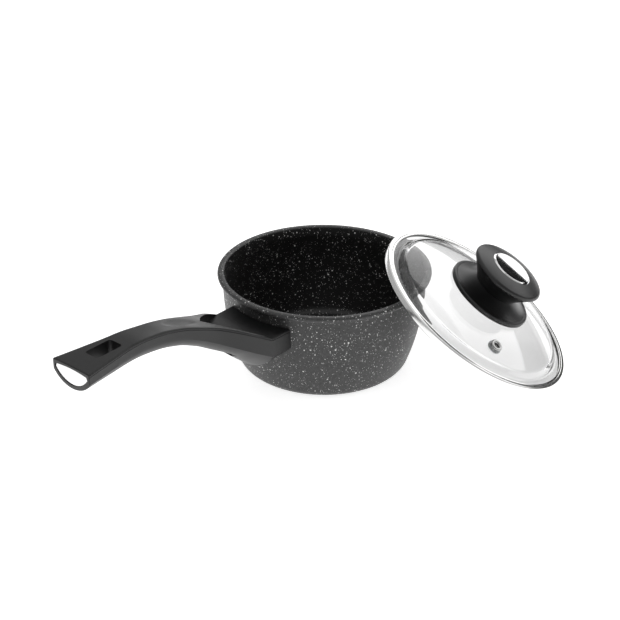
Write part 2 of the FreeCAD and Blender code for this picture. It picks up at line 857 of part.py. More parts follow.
def make_knob_base(doc, d, g):
    """Wide skirt of the knob: hollow disc with an edge lip that sweeps up into the neck."""
    body = new_body(doc, "knob_base")
    hole = d.screw_radius + d.screw_clearance
    boss_low = d.dome_height + d.gasket_thickness
    lip_low = dome_top(d, g, d.skirt_radius) + d.skirt_gap
    lip_high = lip_low + d.skirt_lip
    neck_high = lip_low + d.skirt_lip + d.skirt_rise
    shelf = d.skirt_radius - d.skirt_chamfer
    sweep = (shelf - d.neck_radius) * d.skirt_sweep
    inner_lip = d.skirt_radius - d.skirt_shell
    turned(body, "Skirt", [
        (hole, boss_low),
        (d.gasket_radius, boss_low),
        (d.gasket_radius, boss_low + d.boss_height),
        (inner_lip, lip_high - d.skirt_roof),
        (inner_lip, lip_low),
        (d.skirt_radius, lip_low),
        (d.skirt_radius, lip_high - d.skirt_chamfer),
        (shelf, lip_high),
        (d.neck_radius, neck_high, sweep, -1),
        (hole, neck_high),
    ])
    return body


def knob_levels(d, g):
    """Heights where the knob's head starts, is widest and meets its top plate."""
    level = SimpleNamespace()
    level.foot = dome_top(d, g, d.skirt_radius) + d.skirt_gap + d.skirt_lip + d.skirt_rise
    level.ridge = level.foot + d.head_height
    level.crown = level.ridge + d.head_crown
    return level


def make_knob_head(doc, d, g):
    """Gripped head: cone that widens upwards to a rounded ridge, then slopes to the plate."""
    body = new_body(doc, "knob_head")
    level = knob_levels(d, g)
    plate_low = level.crown - d.top_plate_thickness + d.top_plate_stand
    turned(body, "Head", [
        (d.insert_radius, level.foot),
        (d.neck_radius, level.foot),
        (d.head_radius - d.head_round_inset_low, level.ridge - d.head_round),
        (d.head_radius - d.head_round_inset_high, level.ridge + d.head_round_rise, d.head_round, 1),
        (d.top_plate_radius, level.crown),
        (d.top_plate_radius, plate_low),
        (0, plate_low),
        (0, level.foot + d.insert_length),
        (d.insert_radius, level.foot + d.insert_length),
    ])
    return body


def make_knob_top_plate(doc, d, g):
    """Bright disc set into the head, with a polished bevel round it."""
    body = new_body(doc, "knob_top_plate")
    level = knob_levels(d, g)
    high = level.crown + d.top_plate_stand
    low = high - d.top_plate_thickness
    turned(body, "Disc", [
        (0, low),
        (d.top_plate_radius, low),
        (d.top_plate_radius, high - d.top_plate_bevel),
        (d.top_plate_radius - d.top_plate_bevel, high),
        (0, high),
    ])
    return body


def make_knob_insert(doc, d, g):
    """Brass insert moulded into the head, threaded for the knob's screw."""
    level = knob_levels(d, g)
    body = new_body(doc, "knob_insert")
    grip_end = level.foot + d.knob_screw_grip
    turned(body, "Insert", [
        (d.screw_radius, level.foot),
        (d.insert_radius, level.foot),
        (d.insert_radius, level.foot + d.insert_length),
        (0, level.foot + d.insert_length),
        (0, grip_end),
        (d.screw_radius, grip_end),
    ])
    return body


def stack_under_glass(d, g):
    """Heights of the faces below the glass: gasket, washer, screw head."""
    stack = SimpleNamespace()
    stack.gasket_low = g.under_height - d.under_gasket_thickness
    stack.washer_low = stack.gasket_low - d.knob_washer_thickness
    stack.head_low = stack.washer_low - d.knob_screw_head_height
    return stack


def make_knob_screw(doc, d, g):
    """Screw from under the glass: domed head, shank up into the insert."""
    body = new_body(doc, "knob_screw")
    level = knob_levels(d, g)
    stack = stack_under_glass(d, g)
    turned(body, "Screw", [
        (0, stack.head_low),
        (d.knob_screw_head_flat, stack.head_low),
        (d.knob_screw_head_radius, stack.washer_low - d.knob_screw_head_side,
         d.knob_screw_head_round, 1),
        (d.knob_screw_head_radius, stack.washer_low),
        (d.screw_radius, stack.washer_low),
        (d.screw_radius, level.foot + d.knob_screw_grip),
        (0, level.foot + d.knob_screw_grip),
    ])
    cross_recess(body, d, "XY_Plane", stack.head_low, Size(0))
    return body


def make_knob_gasket(doc, d, g):
    """Silicone gasket under the glass, domed like it on top."""
    body = new_body(doc, "knob_gasket")
    stack = stack_under_glass(d, g)
    hole = d.screw_radius + d.screw_clearance
    turned(body, "Gasket", [
        (hole, stack.gasket_low),
        (d.under_gasket_radius, stack.gasket_low),
        (d.under_gasket_radius, dome_under(d, g, d.under_gasket_radius)),
        (hole, dome_under(d, g, hole), g.sphere_under, 1),
    ])
    return body


def make_knob_seat_gasket(doc, d, g):
    """Silicone ring between the glass and the knob's skirt."""
    body = new_body(doc, "knob_seat_gasket")
    hole = d.knob_hole_radius
    high = d.dome_height + d.gasket_thickness
    turned(body, "Gasket", [
        (hole, dome_top(d, g, hole)),
        (d.gasket_radius, dome_top(d, g, d.gasket_radius), g.sphere, -1),
        (d.gasket_radius, high),
        (hole, high),
    ])
    return body


# ---------------------------------------------------------------- where the lid leans

def lean_clearance(d, g, reach):
    """Smallest way from the pan's lip to the lid's underside, for a lid centre that far out.

    The lip's bead is a ring of small arcs. Each of their points is taken into the lid's frame,
    where it must stay below the band, the glass's edge, its shoulder or its dome.
    """
    tilt = math.radians(d.lean_tilt.value)
    turn = math.radians(d.lid_azimuth.value - d.lean_azimuth.value)
    out, across = reach * math.cos(turn), reach * math.sin(turn)
    lift = g.radius.value * math.sin(tilt)
    bend = d.lip_round.value
    bead = d.rim_outer_radius.value - bend
    gap = d.lean_gap.value
    band_edge = (g.radius - d.band_bottom_width).value - gap
    edge = (d.dome_radius + d.shoulder_run - d.shoulder_inset_low).value
    under_edge = (d.dome_radius - d.shoulder_inset_high).value
    seat = g.seat.value
    rise = dome_under(d, g, under_edge).value - seat
    lean = math.sin(math.atan2(edge - under_edge, rise))
    smallest = math.inf
    for step in range(-90, 91):
        for part in range(9):
            around = math.radians(part * 180.0 / 8)
            radius = bead + bend * math.cos(around)
            height = d.pan_height.value - bend * (1 - math.sin(around)) - lift
            along = radius * math.cos(math.radians(step)) - out
            side = radius * math.sin(math.radians(step)) - across
            poke = math.sin(tilt) * along + math.cos(tilt) * height
            from_axis = math.sqrt(max(along ** 2 + side ** 2 + height ** 2 - poke ** 2, 0.0))
            if from_axis > g.radius.value + gap:
                continue
            if from_axis > band_edge:
                room = -poke
            elif from_axis > edge:
                room = seat - poke
            elif from_axis > under_edge:
                share = (edge - from_axis) / (edge - under_edge)
                room = (seat + share * rise - poke) * lean
            else:
                room = dome_under(d, g, from_axis).value - poke
            smallest = min(smallest, room)
    return smallest


def lid_reach(d, g):
    """How far out the lid's centre stands so that it clears the lip by the lean gap."""
    near, far = d.rim_outer_radius.value, d.rim_outer_radius.value + 2 * g.radius.value
    for _ in range(40):
        middle = 0.5 * (near + far)
        if lean_clearance(d, g, middle) < d.lean_gap.value:
            near = middle
        else:
            far = middle
    return far


def lid_place(d, g):
    """Placement of the lid's frame: tilted, with its lowest edge on the floor."""
    reach = lid_reach(d, g)
    azimuth = math.radians(d.lid_azimuth.value)
    lift = g.radius.value * math.sin(math.radians(d.lean_tilt.value))
    spot = FreeCAD.Vector(reach * math.cos(azimuth), reach * math.sin(azimuth), lift)
    turn = FreeCAD.Rotation(d.lean_azimuth.value, d.lean_tilt.value, 0)
    return FreeCAD.Placement(spot, turn)


# ---------------------------------------------------------------- whole object

def check(doc, bodies):
    """Stop if any object failed or any piece is not one or more valid solids."""
    for thing in doc.Objects:
        if "Invalid" in thing.State or "Error" in thing.State:
            raise RuntimeError("%s failed: %s" % (thing.Label, thing.State))
    for body in bodies:
        shape = body.Shape
        if shape.isNull() or not shape.isValid() or not shape.Solids:
            raise RuntimeError("%s has no valid solid" % body.Label)


def main():
    doc = FreeCAD.newDocument("Saucepan")
    _, d = sheet_of_sizes(doc)
    g = lid_frame(d)
    pan_side = [
        make_pan_body(doc, d),
        make_induction_base(doc, d),
        make_handle_bracket(doc, d),
        make_handle(doc, d),
        make_handle_screw(doc, d),
        make_handle_lock_washer(doc, d),
        make_handle_end_plate(doc, d),
    ]
    stack = stack_under_glass(d, g)
    hole = d.screw_radius + d.screw_clearance
    lid_side = [
        make_lid_glass(doc, d, g),
        make_lid_rim(doc, d, g),
        make_lid_rim_liner(doc, d, g),
        make_knob_seat_gasket(doc, d, g),
        make_knob_base(doc, d, g),
        make_knob_head(doc, d, g),
        make_knob_insert(doc, d, g),
        make_knob_top_plate(doc, d, g),
        make_knob_screw(doc, d, g),
        ring(doc, "knob_washer", hole, d.knob_washer_radius, stack.washer_low, stack.gasket_low),
        make_knob_gasket(doc, d, g),
    ]
    vent_side = [
        make_vent_eyelet(doc, d, g),
        ring(doc, "vent_washer", d.eyelet_bore_radius + d.eyelet_steel, d.vent_washer_radius,
             -d.glass_thickness - d.vent_washer_thickness, -d.glass_thickness),
    ]
    place = lid_place(d, g)
    for body in lid_side:
        body.Placement = place
    for body in vent_side:
        body.Placement = place.multiply(vent_place(d, g))
    doc.recompute()
    bodies = pan_side + lid_side + vent_side
    check(doc, bodies)
    os.makedirs("parts", exist_ok=True)
    for body in bodies:
        body.Shape.exportStep("parts/%s.step" % body.Label)
        box = body.Shape.BoundBox
        print("%-20s solids %d volume %9.1f  x %.1f..%.1f y %.1f..%.1f z %.1f..%.1f" % (
            body.Label, len(body.Shape.Solids), body.Shape.Volume,
            box.XMin, box.XMax, box.YMin, box.YMax, box.ZMin, box.ZMax))


main()
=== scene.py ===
"""Looks for the saucepan with a loose glass lid.

Metres, +Z up, origin at the centre of the pan's foot, handle along -X. The pieces are lathe and
loft surfaces that stand where the CAD nodes stand. Lengths of pieces are millimetres until a mesh
is written, where they are turned to metres; lights and the camera are placed in metres.
"""
import math

import bpy
import numpy as np
from mathutils import Matrix, Vector


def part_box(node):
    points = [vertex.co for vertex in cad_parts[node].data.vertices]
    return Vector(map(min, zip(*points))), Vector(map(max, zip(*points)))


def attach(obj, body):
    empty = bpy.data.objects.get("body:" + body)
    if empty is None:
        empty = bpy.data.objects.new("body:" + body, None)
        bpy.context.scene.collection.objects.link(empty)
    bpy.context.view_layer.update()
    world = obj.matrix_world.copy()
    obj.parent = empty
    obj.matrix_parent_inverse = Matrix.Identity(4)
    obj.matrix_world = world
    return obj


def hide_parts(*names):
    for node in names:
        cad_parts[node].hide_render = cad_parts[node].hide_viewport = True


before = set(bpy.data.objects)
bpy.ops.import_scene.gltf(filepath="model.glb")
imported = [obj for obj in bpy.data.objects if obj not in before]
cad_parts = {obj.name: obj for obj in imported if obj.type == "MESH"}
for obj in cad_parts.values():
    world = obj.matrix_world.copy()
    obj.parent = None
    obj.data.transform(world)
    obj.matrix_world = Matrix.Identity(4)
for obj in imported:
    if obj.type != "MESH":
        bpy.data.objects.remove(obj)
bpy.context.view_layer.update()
MM = 0.001

# ---------------------------------------------------------------- real sizes

RIM_RADIUS = 81.0
PAN_HEIGHT = 76.0
WALL = 2.6
BASE_THICKNESS = 4.5
FOOT_RADIUS = 57.0
DISC_RADIUS = 50.0
DISC_THICKNESS = 0.8
WALL_FOOT = (66.6, 7.6)
WALL_NECK = (76.9, 69.5)
WALL_BOW = 165.0
LIP_ROUND = 1.85
LIP_WIDTH = 5.4
MOUTH_ROUND = 1.6
INNER_HEEL_RUN, INNER_HEEL_RISE, INNER_HEEL_RADIUS = 6.6, 5.0, 7.2
# height and radius of points in the middle of the wall, from the floor up to the lip
MIDDLE_OF_WALL = np.array([(4.0, 65.0), (9.5, 66.2), (40.0, 73.4), (69.5, 75.4), (74.2, 75.9)])

LEAN_TILT = 33.74
LEAN_AZIMUTH = -60.6
LID_RADIUS = 82.5
BAND_STEEL = 0.5
BAND_HEIGHT = 5.8
GLASS_THICKNESS = 4.0
DOME_RADIUS = 69.5
DOME_HEIGHT = 21.0
DOME_EDGE_HEIGHT = 9.6
DOME_SPHERE = (DOME_RADIUS ** 2 + (DOME_HEIGHT - DOME_EDGE_HEIGHT) ** 2) / (
    2 * (DOME_HEIGHT - DOME_EDGE_HEIGHT))
DOME_UNDER_INSET = 2.4
SHOULDER_RUN = 3.7
SHOULDER_INSET = 1.96
BAND_SEAT = 0.95
KNOB_HOLE = 4.0
VENT_REACH = 55.0
VENT_ANGLE = -72.3
VENT_HOLE = 2.8
VENT_WASHER = 0.8

SKIRT_RADIUS = 33.8
SKIRT_SHELL = 3.0
SKIRT_GAP, SKIRT_LIP, SKIRT_RISE = 0.5, 3.6, 6.6
BOSS_RADIUS, BOSS_HEIGHT = 12.5, 2.5
GASKET_THICKNESS = 1.2
NECK_RADIUS = 18.0
HEAD_HEIGHT, HEAD_CROWN = 14.9, 4.0
INSERT_RADIUS, INSERT_LENGTH = 4.6, 14.0
SCREW_HOLE = 2.8
TOP_PLATE_RADIUS = 16.6
TOP_PLATE_STAND = 0.4
TOP_PLATE_THICKNESS = 1.6

BLOCK_REACH = 90.0
BLOCK_TOP = 64.0
GRIP_REACH = 251.0
TIP_ROUND = 1.0
SCREW_HEIGHT = 50.0
SCREW_SEAT = 91.0
SEAT_RADIUS = 5.2
BRACKET_REACH = 84.3
BRACKET_HALF_WIDTH, BRACKET_HALF_HEIGHT = 13.3, 7.3
HANDLE_WALL_GAP = 0.15
NECK_HOLE_START, NECK_HOLE_END, NECK_HOLE_HALF = 108.0, 131.0, 10.0
NECK_RECESS_END, NECK_RECESS_HALF, NECK_RECESS_BOW = 134.0, 26.4, 91.0
SLOT_START, SLOT_END, SLOT_HALF, SLOT_CORNER = 211.3, 233.7, 6.2, 2.5
DIMPLE_REACH, DIMPLE_HALF_LENGTH, DIMPLE_HALF_WIDTH, DIMPLE_DEPTH = 154.0, 14.5, 6.5, 1.7
PLATE_RECESS_REACH = 249.4

# reach from the pan's axis, top, width, height of the upright side, whole depth
BLOCK_INNER_END = np.array((59.0, 63.4, 57.6, 16.0, 28.0))
HANDLE_STATIONS = np.array([
    (90.0, 64.0, 56.0, 16.0, 31.0),
    (100.0, 69.5, 51.3, 16.0, 28.2),
    (110.0, 74.8, 44.8, 15.6, 25.2),
    (120.0, 79.6, 35.5, 14.8, 23.2),
    (130.0, 84.0, 28.6, 13.4, 21.3),
    (142.0, 88.6, 25.0, 11.2, 18.8),
    (160.0, 94.8, 21.2, 9.2, 17.0),
    (180.0, 99.2, 19.6, 8.6, 16.4),
    (205.0, 101.7, 21.8, 8.5, 16.7),
    (230.0, 101.5, 28.6, 8.3, 17.3),
    (251.0, 101.3, 35.4, 8.0, 17.5),
])


def dome(radius, sphere=DOME_SPHERE):
    """Height of a face of the dome at a radius: a sphere about the dome's own centre."""
    return DOME_HEIGHT - DOME_SPHERE + np.sqrt(sphere ** 2 - np.square(radius))


# ---------------------------------------------------------------- profiles

def trace(points, step=0.6):
    """A closed line through points: (x, y) is reached straight, (x, y, radius, turn) by an arc.

    An arc's centre lies on the chord's perpendicular bisector, root(radius^2 - half chord^2) to the
    left of the way for turn +1 and to the right for -1; the arc is the circle's short way round.
    """
    line = []
    for i, point in enumerate(points):
        start, end = np.array(points[i - 1][:2], float), np.array(point[:2], float)
        if len(point) == 2:
            line.append(end[None])
            continue
        radius, turn = point[2], point[3]
        along = (end - start) / 2
        left = np.array([-along[1], along[0]]) / np.linalg.norm(along)
        middle = (start + end) / 2 + left * turn * math.sqrt(max(radius ** 2 - along @ along, 0))
        first = math.atan2(*(start - middle)[::-1])
        sweep = (math.atan2(*(end - middle)[::-1]) - first + math.pi) % (2 * math.pi) - math.pi
        count = max(3, int(abs(sweep) * radius / step), int(abs(sweep) / 0.2))
        angle = first + sweep * np.arange(1, count + 1) / count
        line.append(middle + radius * np.stack([np.cos(angle), np.sin(angle)], -1))
    return np.concatenate(line)


def soften(line, radius, least=24.0, steps=4):
    """Round the corners of a closed line: each becomes a quadratic curve between two points cut
    back along its sides by the radius, or by 0.45 of the shorter side."""
    before, after = np.roll(line, 1, 0), np.roll(line, -1, 0)
    come, go = line - before, after - line
    far_in, far_out = np.linalg.norm(come, axis=1), np.linalg.norm(go, axis=1)
    cosine = np.sum(come * go, 1) / np.maximum(far_in * far_out, 1e-12)
    sharp = cosine < math.cos(math.radians(least))
    share = np.linspace(0, 1, steps + 1)[:, None]
    parts = []
    for i, point in enumerate(line):
        if not sharp[i] or point[0] < 1e-6:
            parts.append(point[None])
            continue
        back = min(radius, 0.45 * far_in[i], 0.45 * far_out[i])
        a, b = point - come[i] / far_in[i] * back, point + go[i] / far_out[i] * back
        parts.append((1 - share) ** 2 * a + 2 * share * (1 - share) * point + share ** 2 * b)
    return np.concatenate(parts)


# ---------------------------------------------------------------- meshes

def make_object(name, verts, faces, uv=None, place=None):
    """A mesh object at the origin from points in millimetres, turned so that its faces look out."""
    verts = np.asarray(verts, float)
    if place is not None:
        verts = verts @ np.array(place.to_3x3()).T + np.array(place.translation)
    verts = verts * MM
    mesh = bpy.data.meshes.new(name)
    mesh.from_pydata(verts.tolist(), [], [list(f) for f in faces])
    if uv is not None:
        layer = mesh.uv_layers.new(name="along")
        layer.data.foreach_set("uv", np.asarray(uv, np.float32).ravel())
    mesh.update()
    mesh.calc_loop_triangles()
    tri = np.zeros(len(mesh.loop_triangles) * 3, np.int32)
    mesh.loop_triangles.foreach_get("vertices", tri)
    a, b, c = verts[tri[0::3]], verts[tri[1::3]], verts[tri[2::3]]
    if np.einsum("ij,ij->i", a, np.cross(b, c)).sum() < 0:
        mesh.flip_normals()
    thing = bpy.data.objects.new(name, mesh)
    bpy.context.scene.collection.objects.link(thing)
    return thing


def smooth(thing, sharp=30.0):
    """Smooth shading with creases where the surface turns by more than an angle."""
    thing.data.polygons.foreach_set("use_smooth", [True] * len(thing.data.polygons))
    thing.data.set_sharp_from_angle(angle=math.radians(sharp))
    return thing


def lathe(name, line, place=None, around=224, sharp=30.0):
    """Surface of revolution of a closed half section (radius, height).

    Point (i, j) is (r_i cos a_j, r_i sin a_j, z_i) with a_j = 2 pi j / around. A line that starts
    and ends on the axis closes in a pole at each end; any other is closed into a ring. The map's u
    is a_j in turns and its v is the length along the section, in millimetres.
    """
    line = np.asarray(line, float)
    poles = line[0, 0] < 1e-6 and line[-1, 0] < 1e-6
    angle = np.arange(around) * 2 * math.pi / around
    rows = line[1:-1] if poles else line
    grid = np.stack([
        rows[:, :1] * np.cos(angle),
        rows[:, :1] * np.sin(angle),
        np.repeat(rows[:, 1:], around, 1),
    ], -1)
    verts = grid.reshape(-1, 3)
    count = len(rows)
    spans = count - 1 if poles else count
    i, j = np.meshgrid(np.arange(spans), np.arange(around), indexing="ij")
    k, n = (i + 1) % count, (j + 1) % around
    quads = np.stack([i * around + j, k * around + j, k * around + n, i * around + n], -1)
    lengths = np.concatenate([[0], np.cumsum(np.linalg.norm(np.diff(rows, axis=0), axis=1))])
    lengths = np.append(lengths, lengths[-1] + np.linalg.norm(rows[0] - rows[-1]))
    u, v = j / around, lengths[i]
    u1, v1 = (j + 1) / around, lengths[i + 1]
    uv = np.stack([np.stack(c, -1) for c in ((u, v), (u, v1), (u1, v1), (u1, v))], -2)
    faces = quads.reshape(-1, 4).tolist()
    uv = uv.reshape(-1, 2)
    if poles:
        first, last = len(verts), len(verts) + 1
        verts = np.concatenate([verts, [[0, 0, line[0, 1]], [0, 0, line[-1, 1]]]])
        j = np.arange(around)
        n = (j + 1) % around
        end = (count - 1) * around
        faces += np.stack([n, np.full(around, first), j], -1).tolist()
        faces += np.stack([end + j, np.full(around, last), end + n], -1).tolist()
        low = np.stack([(j + 1) / around, j * 0, (j + 0.5) / around, j * 0, j / around, j * 0], -1)
        top = lengths[count - 1]
        high = np.stack([j / around, j * 0 + top, (j + 0.5) / around, j * 0 + top,
                         (j + 1) / around, j * 0 + top], -1)
        uv = np.concatenate([uv, low.reshape(-1, 2), high.reshape(-1, 2)])
    return smooth(make_object(name, verts, faces, uv, place), sharp)


def carried(name, sections, sharp=24.0):
    """A closed surface through equal-length sections in order, with a flat cap at each end."""
    sections = np.asarray(sections, float)
    rows, cols = sections.shape[:2]
    i, j = np.meshgrid(np.arange(rows - 1), np.arange(cols), indexing="ij")
    n = (j + 1) % cols
    quads = np.stack([i * cols + j, i * cols + n, (i + 1) * cols + n, (i + 1) * cols + j], -1)
    faces = quads.reshape(-1, 4).tolist()
    faces.append(list(range(cols))[::-1])
    faces.append(list(range((rows - 1) * cols, rows * cols)))
    return smooth(make_object(name, sections.reshape(-1, 3), faces), sharp)


def prism(name, outline, low, high, axis="Z"):
    """A flat outline carried straight along Z or X from low to high."""
    outline = np.asarray(outline, float)
    place = 2 if axis == "Z" else 0
    return carried(name, [np.insert(outline, place, level, axis=1) for level in (low, high)])


def carve(thing, cutters):
    """Take each cutter's solid out of a piece, and drop the cutter."""
    for cutter in cutters:
        cut = thing.modifiers.new("Cut", "BOOLEAN")
        cut.operation = "DIFFERENCE"
        cut.solver = "EXACT"
        cut.object = cutter
        with bpy.context.temp_override(object=thing, active_object=thing):
            bpy.ops.object.modifier_apply(modifier=cut.name)
        bpy.data.objects.remove(cutter)
    return thing


def circle(radius, height=0.0, count=48):
    """Points of a circle about (0, height)."""
    angle = np.arange(count) * 2 * math.pi / count
    return np.stack([radius * np.cos(angle), height + radius * np.sin(angle)], -1)


# ---------------------------------------------------------------- materials

def hex_linear(text):
    """Linear red, green, blue and alpha 1 from an sRGB hex colour."""
    srgb = np.array([int(text[k:k + 2], 16) / 255 for k in (1, 3, 5)])
    linear = np.where(srgb <= 0.04045, srgb / 12.92, ((srgb + 0.055) / 1.055) ** 2.4)
    return (*linear.tolist(), 1.0)


def add(tree, kind, inputs=None, **settings):
    """Add a node, set its properties, and fill its inputs with constants or links."""
    made = tree.nodes.new(kind)
    for key, value in settings.items():
        setattr(made, key, value)
    for key, value in (inputs or {}).items():
        socket = made.inputs[key]
        if isinstance(value, bpy.types.NodeSocket):
            tree.links.new(value, socket)
        else:
            socket.default_value = value
    return made


def new_material(name):
    """A node material with nothing in it yet but its output."""
    made = bpy.data.materials.new(name)
    made.use_nodes = True
    made.node_tree.nodes.clear()
    return made, made.node_tree, add(made.node_tree, "ShaderNodeOutputMaterial")


def finish_material(tree, output, shader):
    """Join a shader to the material's output."""
    tree.links.new(shader.outputs[0], output.inputs["Surface"])


def stone_coating():
    """Cast aluminium with a sprayed non-stick coating that holds pale stone-like specks.

    It looks like dark stone with white flecks. The flecks are 0.15 to 1.2 mm grains in two sizes
    of Voronoi cell, 2.3 mm and 1.1 mm wide: a bit over half of the cells hold a grain, each with a
    size and a paleness of its own. Finer noise makes their edges ragged, and an orange-peel
    texture of about 1 mm breaks up the sheen. The inside is painted far blacker than the outside:
    this is painted shade for the inside of the bowl.
    """
    made, tree, output = new_material("coated_cast_aluminium_speckled")
    spot = add(tree, "ShaderNodeTexCoord").outputs["Object"]
    inside = add(tree, "ShaderNodeAttribute", attribute_name="inside").outputs["Fac"]
    wobble = add(tree, "ShaderNodeTexNoise", {"Vector": spot, "Scale": 1.4 / MM, "Detail": 2.0})
    shift = add(tree, "ShaderNodeVectorMath", {0: wobble.outputs["Color"], 1: (0.5, 0.5, 0.5)},
                operation="SUBTRACT")
    ragged = (0.9 * MM,) * 3
    moved = add(tree, "ShaderNodeVectorMath", {0: shift.outputs[0], 1: ragged, 2: spot},
                operation="MULTIPLY_ADD")
    grains = []
    bare = 0.45
    for cells_per_mm, small, large in ((0.44, 0.06, 0.27), (0.9, 0.06, 0.28)):
        cell = add(tree, "ShaderNodeTexVoronoi",
                   {"Vector": moved.outputs[0], "Scale": cells_per_mm / MM})
        chance = add(tree, "ShaderNodeSeparateColor", {0: cell.outputs["Color"]})
        size = add(tree, "ShaderNodeMapRange",
                   {0: chance.outputs[0], 1: bare, 2: 1.0, 3: small, 4: large})
        gap = add(tree, "ShaderNodeMath", {0: size.outputs[0], 1: cell.outputs["Distance"]},
                  operation="SUBTRACT")
        grain = add(tree, "ShaderNodeMapRange",
                    {0: gap.outputs[0], 1: 0.0, 2: 0.015, 3: 0.0, 4: 1.0})
        alive = add(tree, "ShaderNodeMath", {0: chance.outputs[0], 1: bare},
                    operation="GREATER_THAN")
        level = add(tree, "ShaderNodeMapRange",
                    {0: chance.outputs[1], 1: 0.0, 2: 1.0, 3: 0.2, 4: 1.0})
        seen = add(tree, "ShaderNodeMath", {0: grain.outputs[0], 1: alive.outputs[0]},
                   operation="MULTIPLY")
        grains.append(add(tree, "ShaderNodeMath", {0: seen.outputs[0], 1: level.outputs[0]},
                          operation="MULTIPLY"))
    grain = add(tree, "ShaderNodeMath", {0: grains[0].outputs[0], 1: grains[1].outputs[0]},
                operation="MAXIMUM")
    cloud = add(tree, "ShaderNodeTexNoise", {"Vector": spot, "Scale": 0.52 / MM, "Detail": 4.0})
    tone = add(tree, "ShaderNodeMapRange",
               {0: cloud.outputs["Fac"], 1: 0.3, 2: 0.7, 3: 0.0, 4: 1.0})
    # The second pair of greys, used on the inside, is painted shade: it makes the pan's inside far
    # darker than its outside.
    outer, inner = (
        add(tree, "ShaderNodeMix", {0: tone.outputs[0], 6: hex_linear(dark), 7: hex_linear(pale)},
            data_type="RGBA")
        for dark, pale in (("#272727", "#3c3c3c"), ("#060606", "#101010"))
    )
    coat_and_painted_shade = add(tree, "ShaderNodeMix", {0: inside, 6: outer.outputs[2], 7: inner.outputs[2]},
               data_type="RGBA")
    colour = add(tree, "ShaderNodeMix",
                 {0: grain.outputs[0], 6: coat_and_painted_shade.outputs[2], 7: hex_linear("#fafaf8")},
                 data_type="RGBA")
    peel = add(tree, "ShaderNodeTexNoise", {"Vector": spot, "Scale": 0.9 / MM, "Detail": 3.0})
    rough = add(tree, "ShaderNodeMapRange",
                {0: peel.outputs["Fac"], 1: 0.3, 2: 0.7, 3: 0.36, 4: 0.52})
    bump = add(tree, "ShaderNodeBump",
               {"Strength": 0.22, "Distance": 0.2 * MM, "Height": peel.outputs["Fac"]})
    skin = add(tree, "ShaderNodeBsdfPrincipled", {
        "Base Color": colour.outputs[2], "Roughness": rough.outputs[0], "Normal": bump.outputs[0],
    })
    finish_material(tree, output, skin)
    return made


def moulded(name, low, high, rough_low, rough_high, grit):
    """Compression-moulded phenolic: near-black with a soft sheen, a faint cloudy tone some 15 mm
    across, and the fine grit of the mould, whose grain is a given number of millimetres."""
    made, tree, output = new_material(name)
    spot = add(tree, "ShaderNodeTexCoord").outputs["Object"]
    cloud = add(tree, "ShaderNodeTexNoise", {"Vector": spot, "Scale": 0.06 / MM, "Detail": 5.0})
    fine = add(tree, "ShaderNodeTexNoise",
               {"Vector": spot, "Scale": 1 / (grit * MM), "Detail": 3.0})
    colour = add(tree, "ShaderNodeMix",
                 {0: cloud.outputs["Fac"], 6: hex_linear(low), 7: hex_linear(high)},
                 data_type="RGBA")
    rough = add(tree, "ShaderNodeMapRange",
                {0: cloud.outputs["Fac"], 1: 0.3, 2: 0.7, 3: rough_low, 4: rough_high})
    bump = add(tree, "ShaderNodeBump",
               {"Strength": 0.12, "Distance": 0.1 * MM, "Height": fine.outputs["Fac"]})
    skin = add(tree, "ShaderNodeBsdfPrincipled", {
        "Base Color": colour.outputs[2], "Roughness": rough.outputs[0], "Normal": bump.outputs[0],
    })
    finish_material(tree, output, skin)
    return made


def turned_metal(name, low, high, rough_low, rough_high, line, bump_strength, mapped=True):
    """Metal with fine lines round its axis, as turning or polishing leaves: noise that is stretched
    along the map's u and packed along its v, one line per given width in millimetres. A piece with
    no map gets its lines along X."""
    made, tree, output = new_material(name)
    coords = add(tree, "ShaderNodeTexCoord")
    if mapped:
        source, packed = "UV", (2.0, 1 / line, 1.0)
    else:
        source, packed = "Object", (0.06 / MM, 1 / (line * MM), 1 / (line * MM))
    spread = add(tree, "ShaderNodeMapping", {"Vector": coords.outputs[source], "Scale": packed})
    lines = add(tree, "ShaderNodeTexNoise",
                {"Vector": spread.outputs[0], "Scale": 1.0, "Detail": 3.0})
    colour = add(tree, "ShaderNodeMix",
                 {0: lines.outputs["Fac"], 6: hex_linear(low), 7: hex_linear(high)},
                 data_type="RGBA")
    rough = add(tree, "ShaderNodeMapRange",
                {0: lines.outputs["Fac"], 1: 0.3, 2: 0.7, 3: rough_low, 4: rough_high})
    bump = add(tree, "ShaderNodeBump",
               {"Strength": bump_strength, "Distance": 0.05 * MM, "Height": lines.outputs["Fac"]})
    skin = add(tree, "ShaderNodeBsdfPrincipled", {
        "Base Color": colour.outputs[2], "Roughness": rough.outputs[0], "Metallic": 1.0,
        "Normal": bump.outputs[0],
    })
    finish_material(tree, output, skin)
    return made


def toughened_glass():
    """Clear toughened soda-lime glass, 4 mm: fire-polished and slightly grey in depth, with the
    faintest waviness, about 45 mm long, from bending."""
    made, tree, output = new_material("toughened_glass_clear")
    spot = add(tree, "ShaderNodeTexCoord").outputs["Object"]
    wave = add(tree, "ShaderNodeTexNoise", {"Vector": spot, "Scale": 0.022 / MM, "Detail": 1.0})
    bump = add(tree, "ShaderNodeBump",
               {"Strength": 0.03, "Distance": 0.4 * MM, "Height": wave.outputs["Fac"]})
    skin = add(tree, "ShaderNodeBsdfPrincipled", {
        "Base Color": hex_linear("#dcdcdc"), "Roughness": 0.0, "Transmission Weight": 1.0,
        "Normal": bump.outputs[0],
    })
    finish_material(tree, output, skin)
    return made


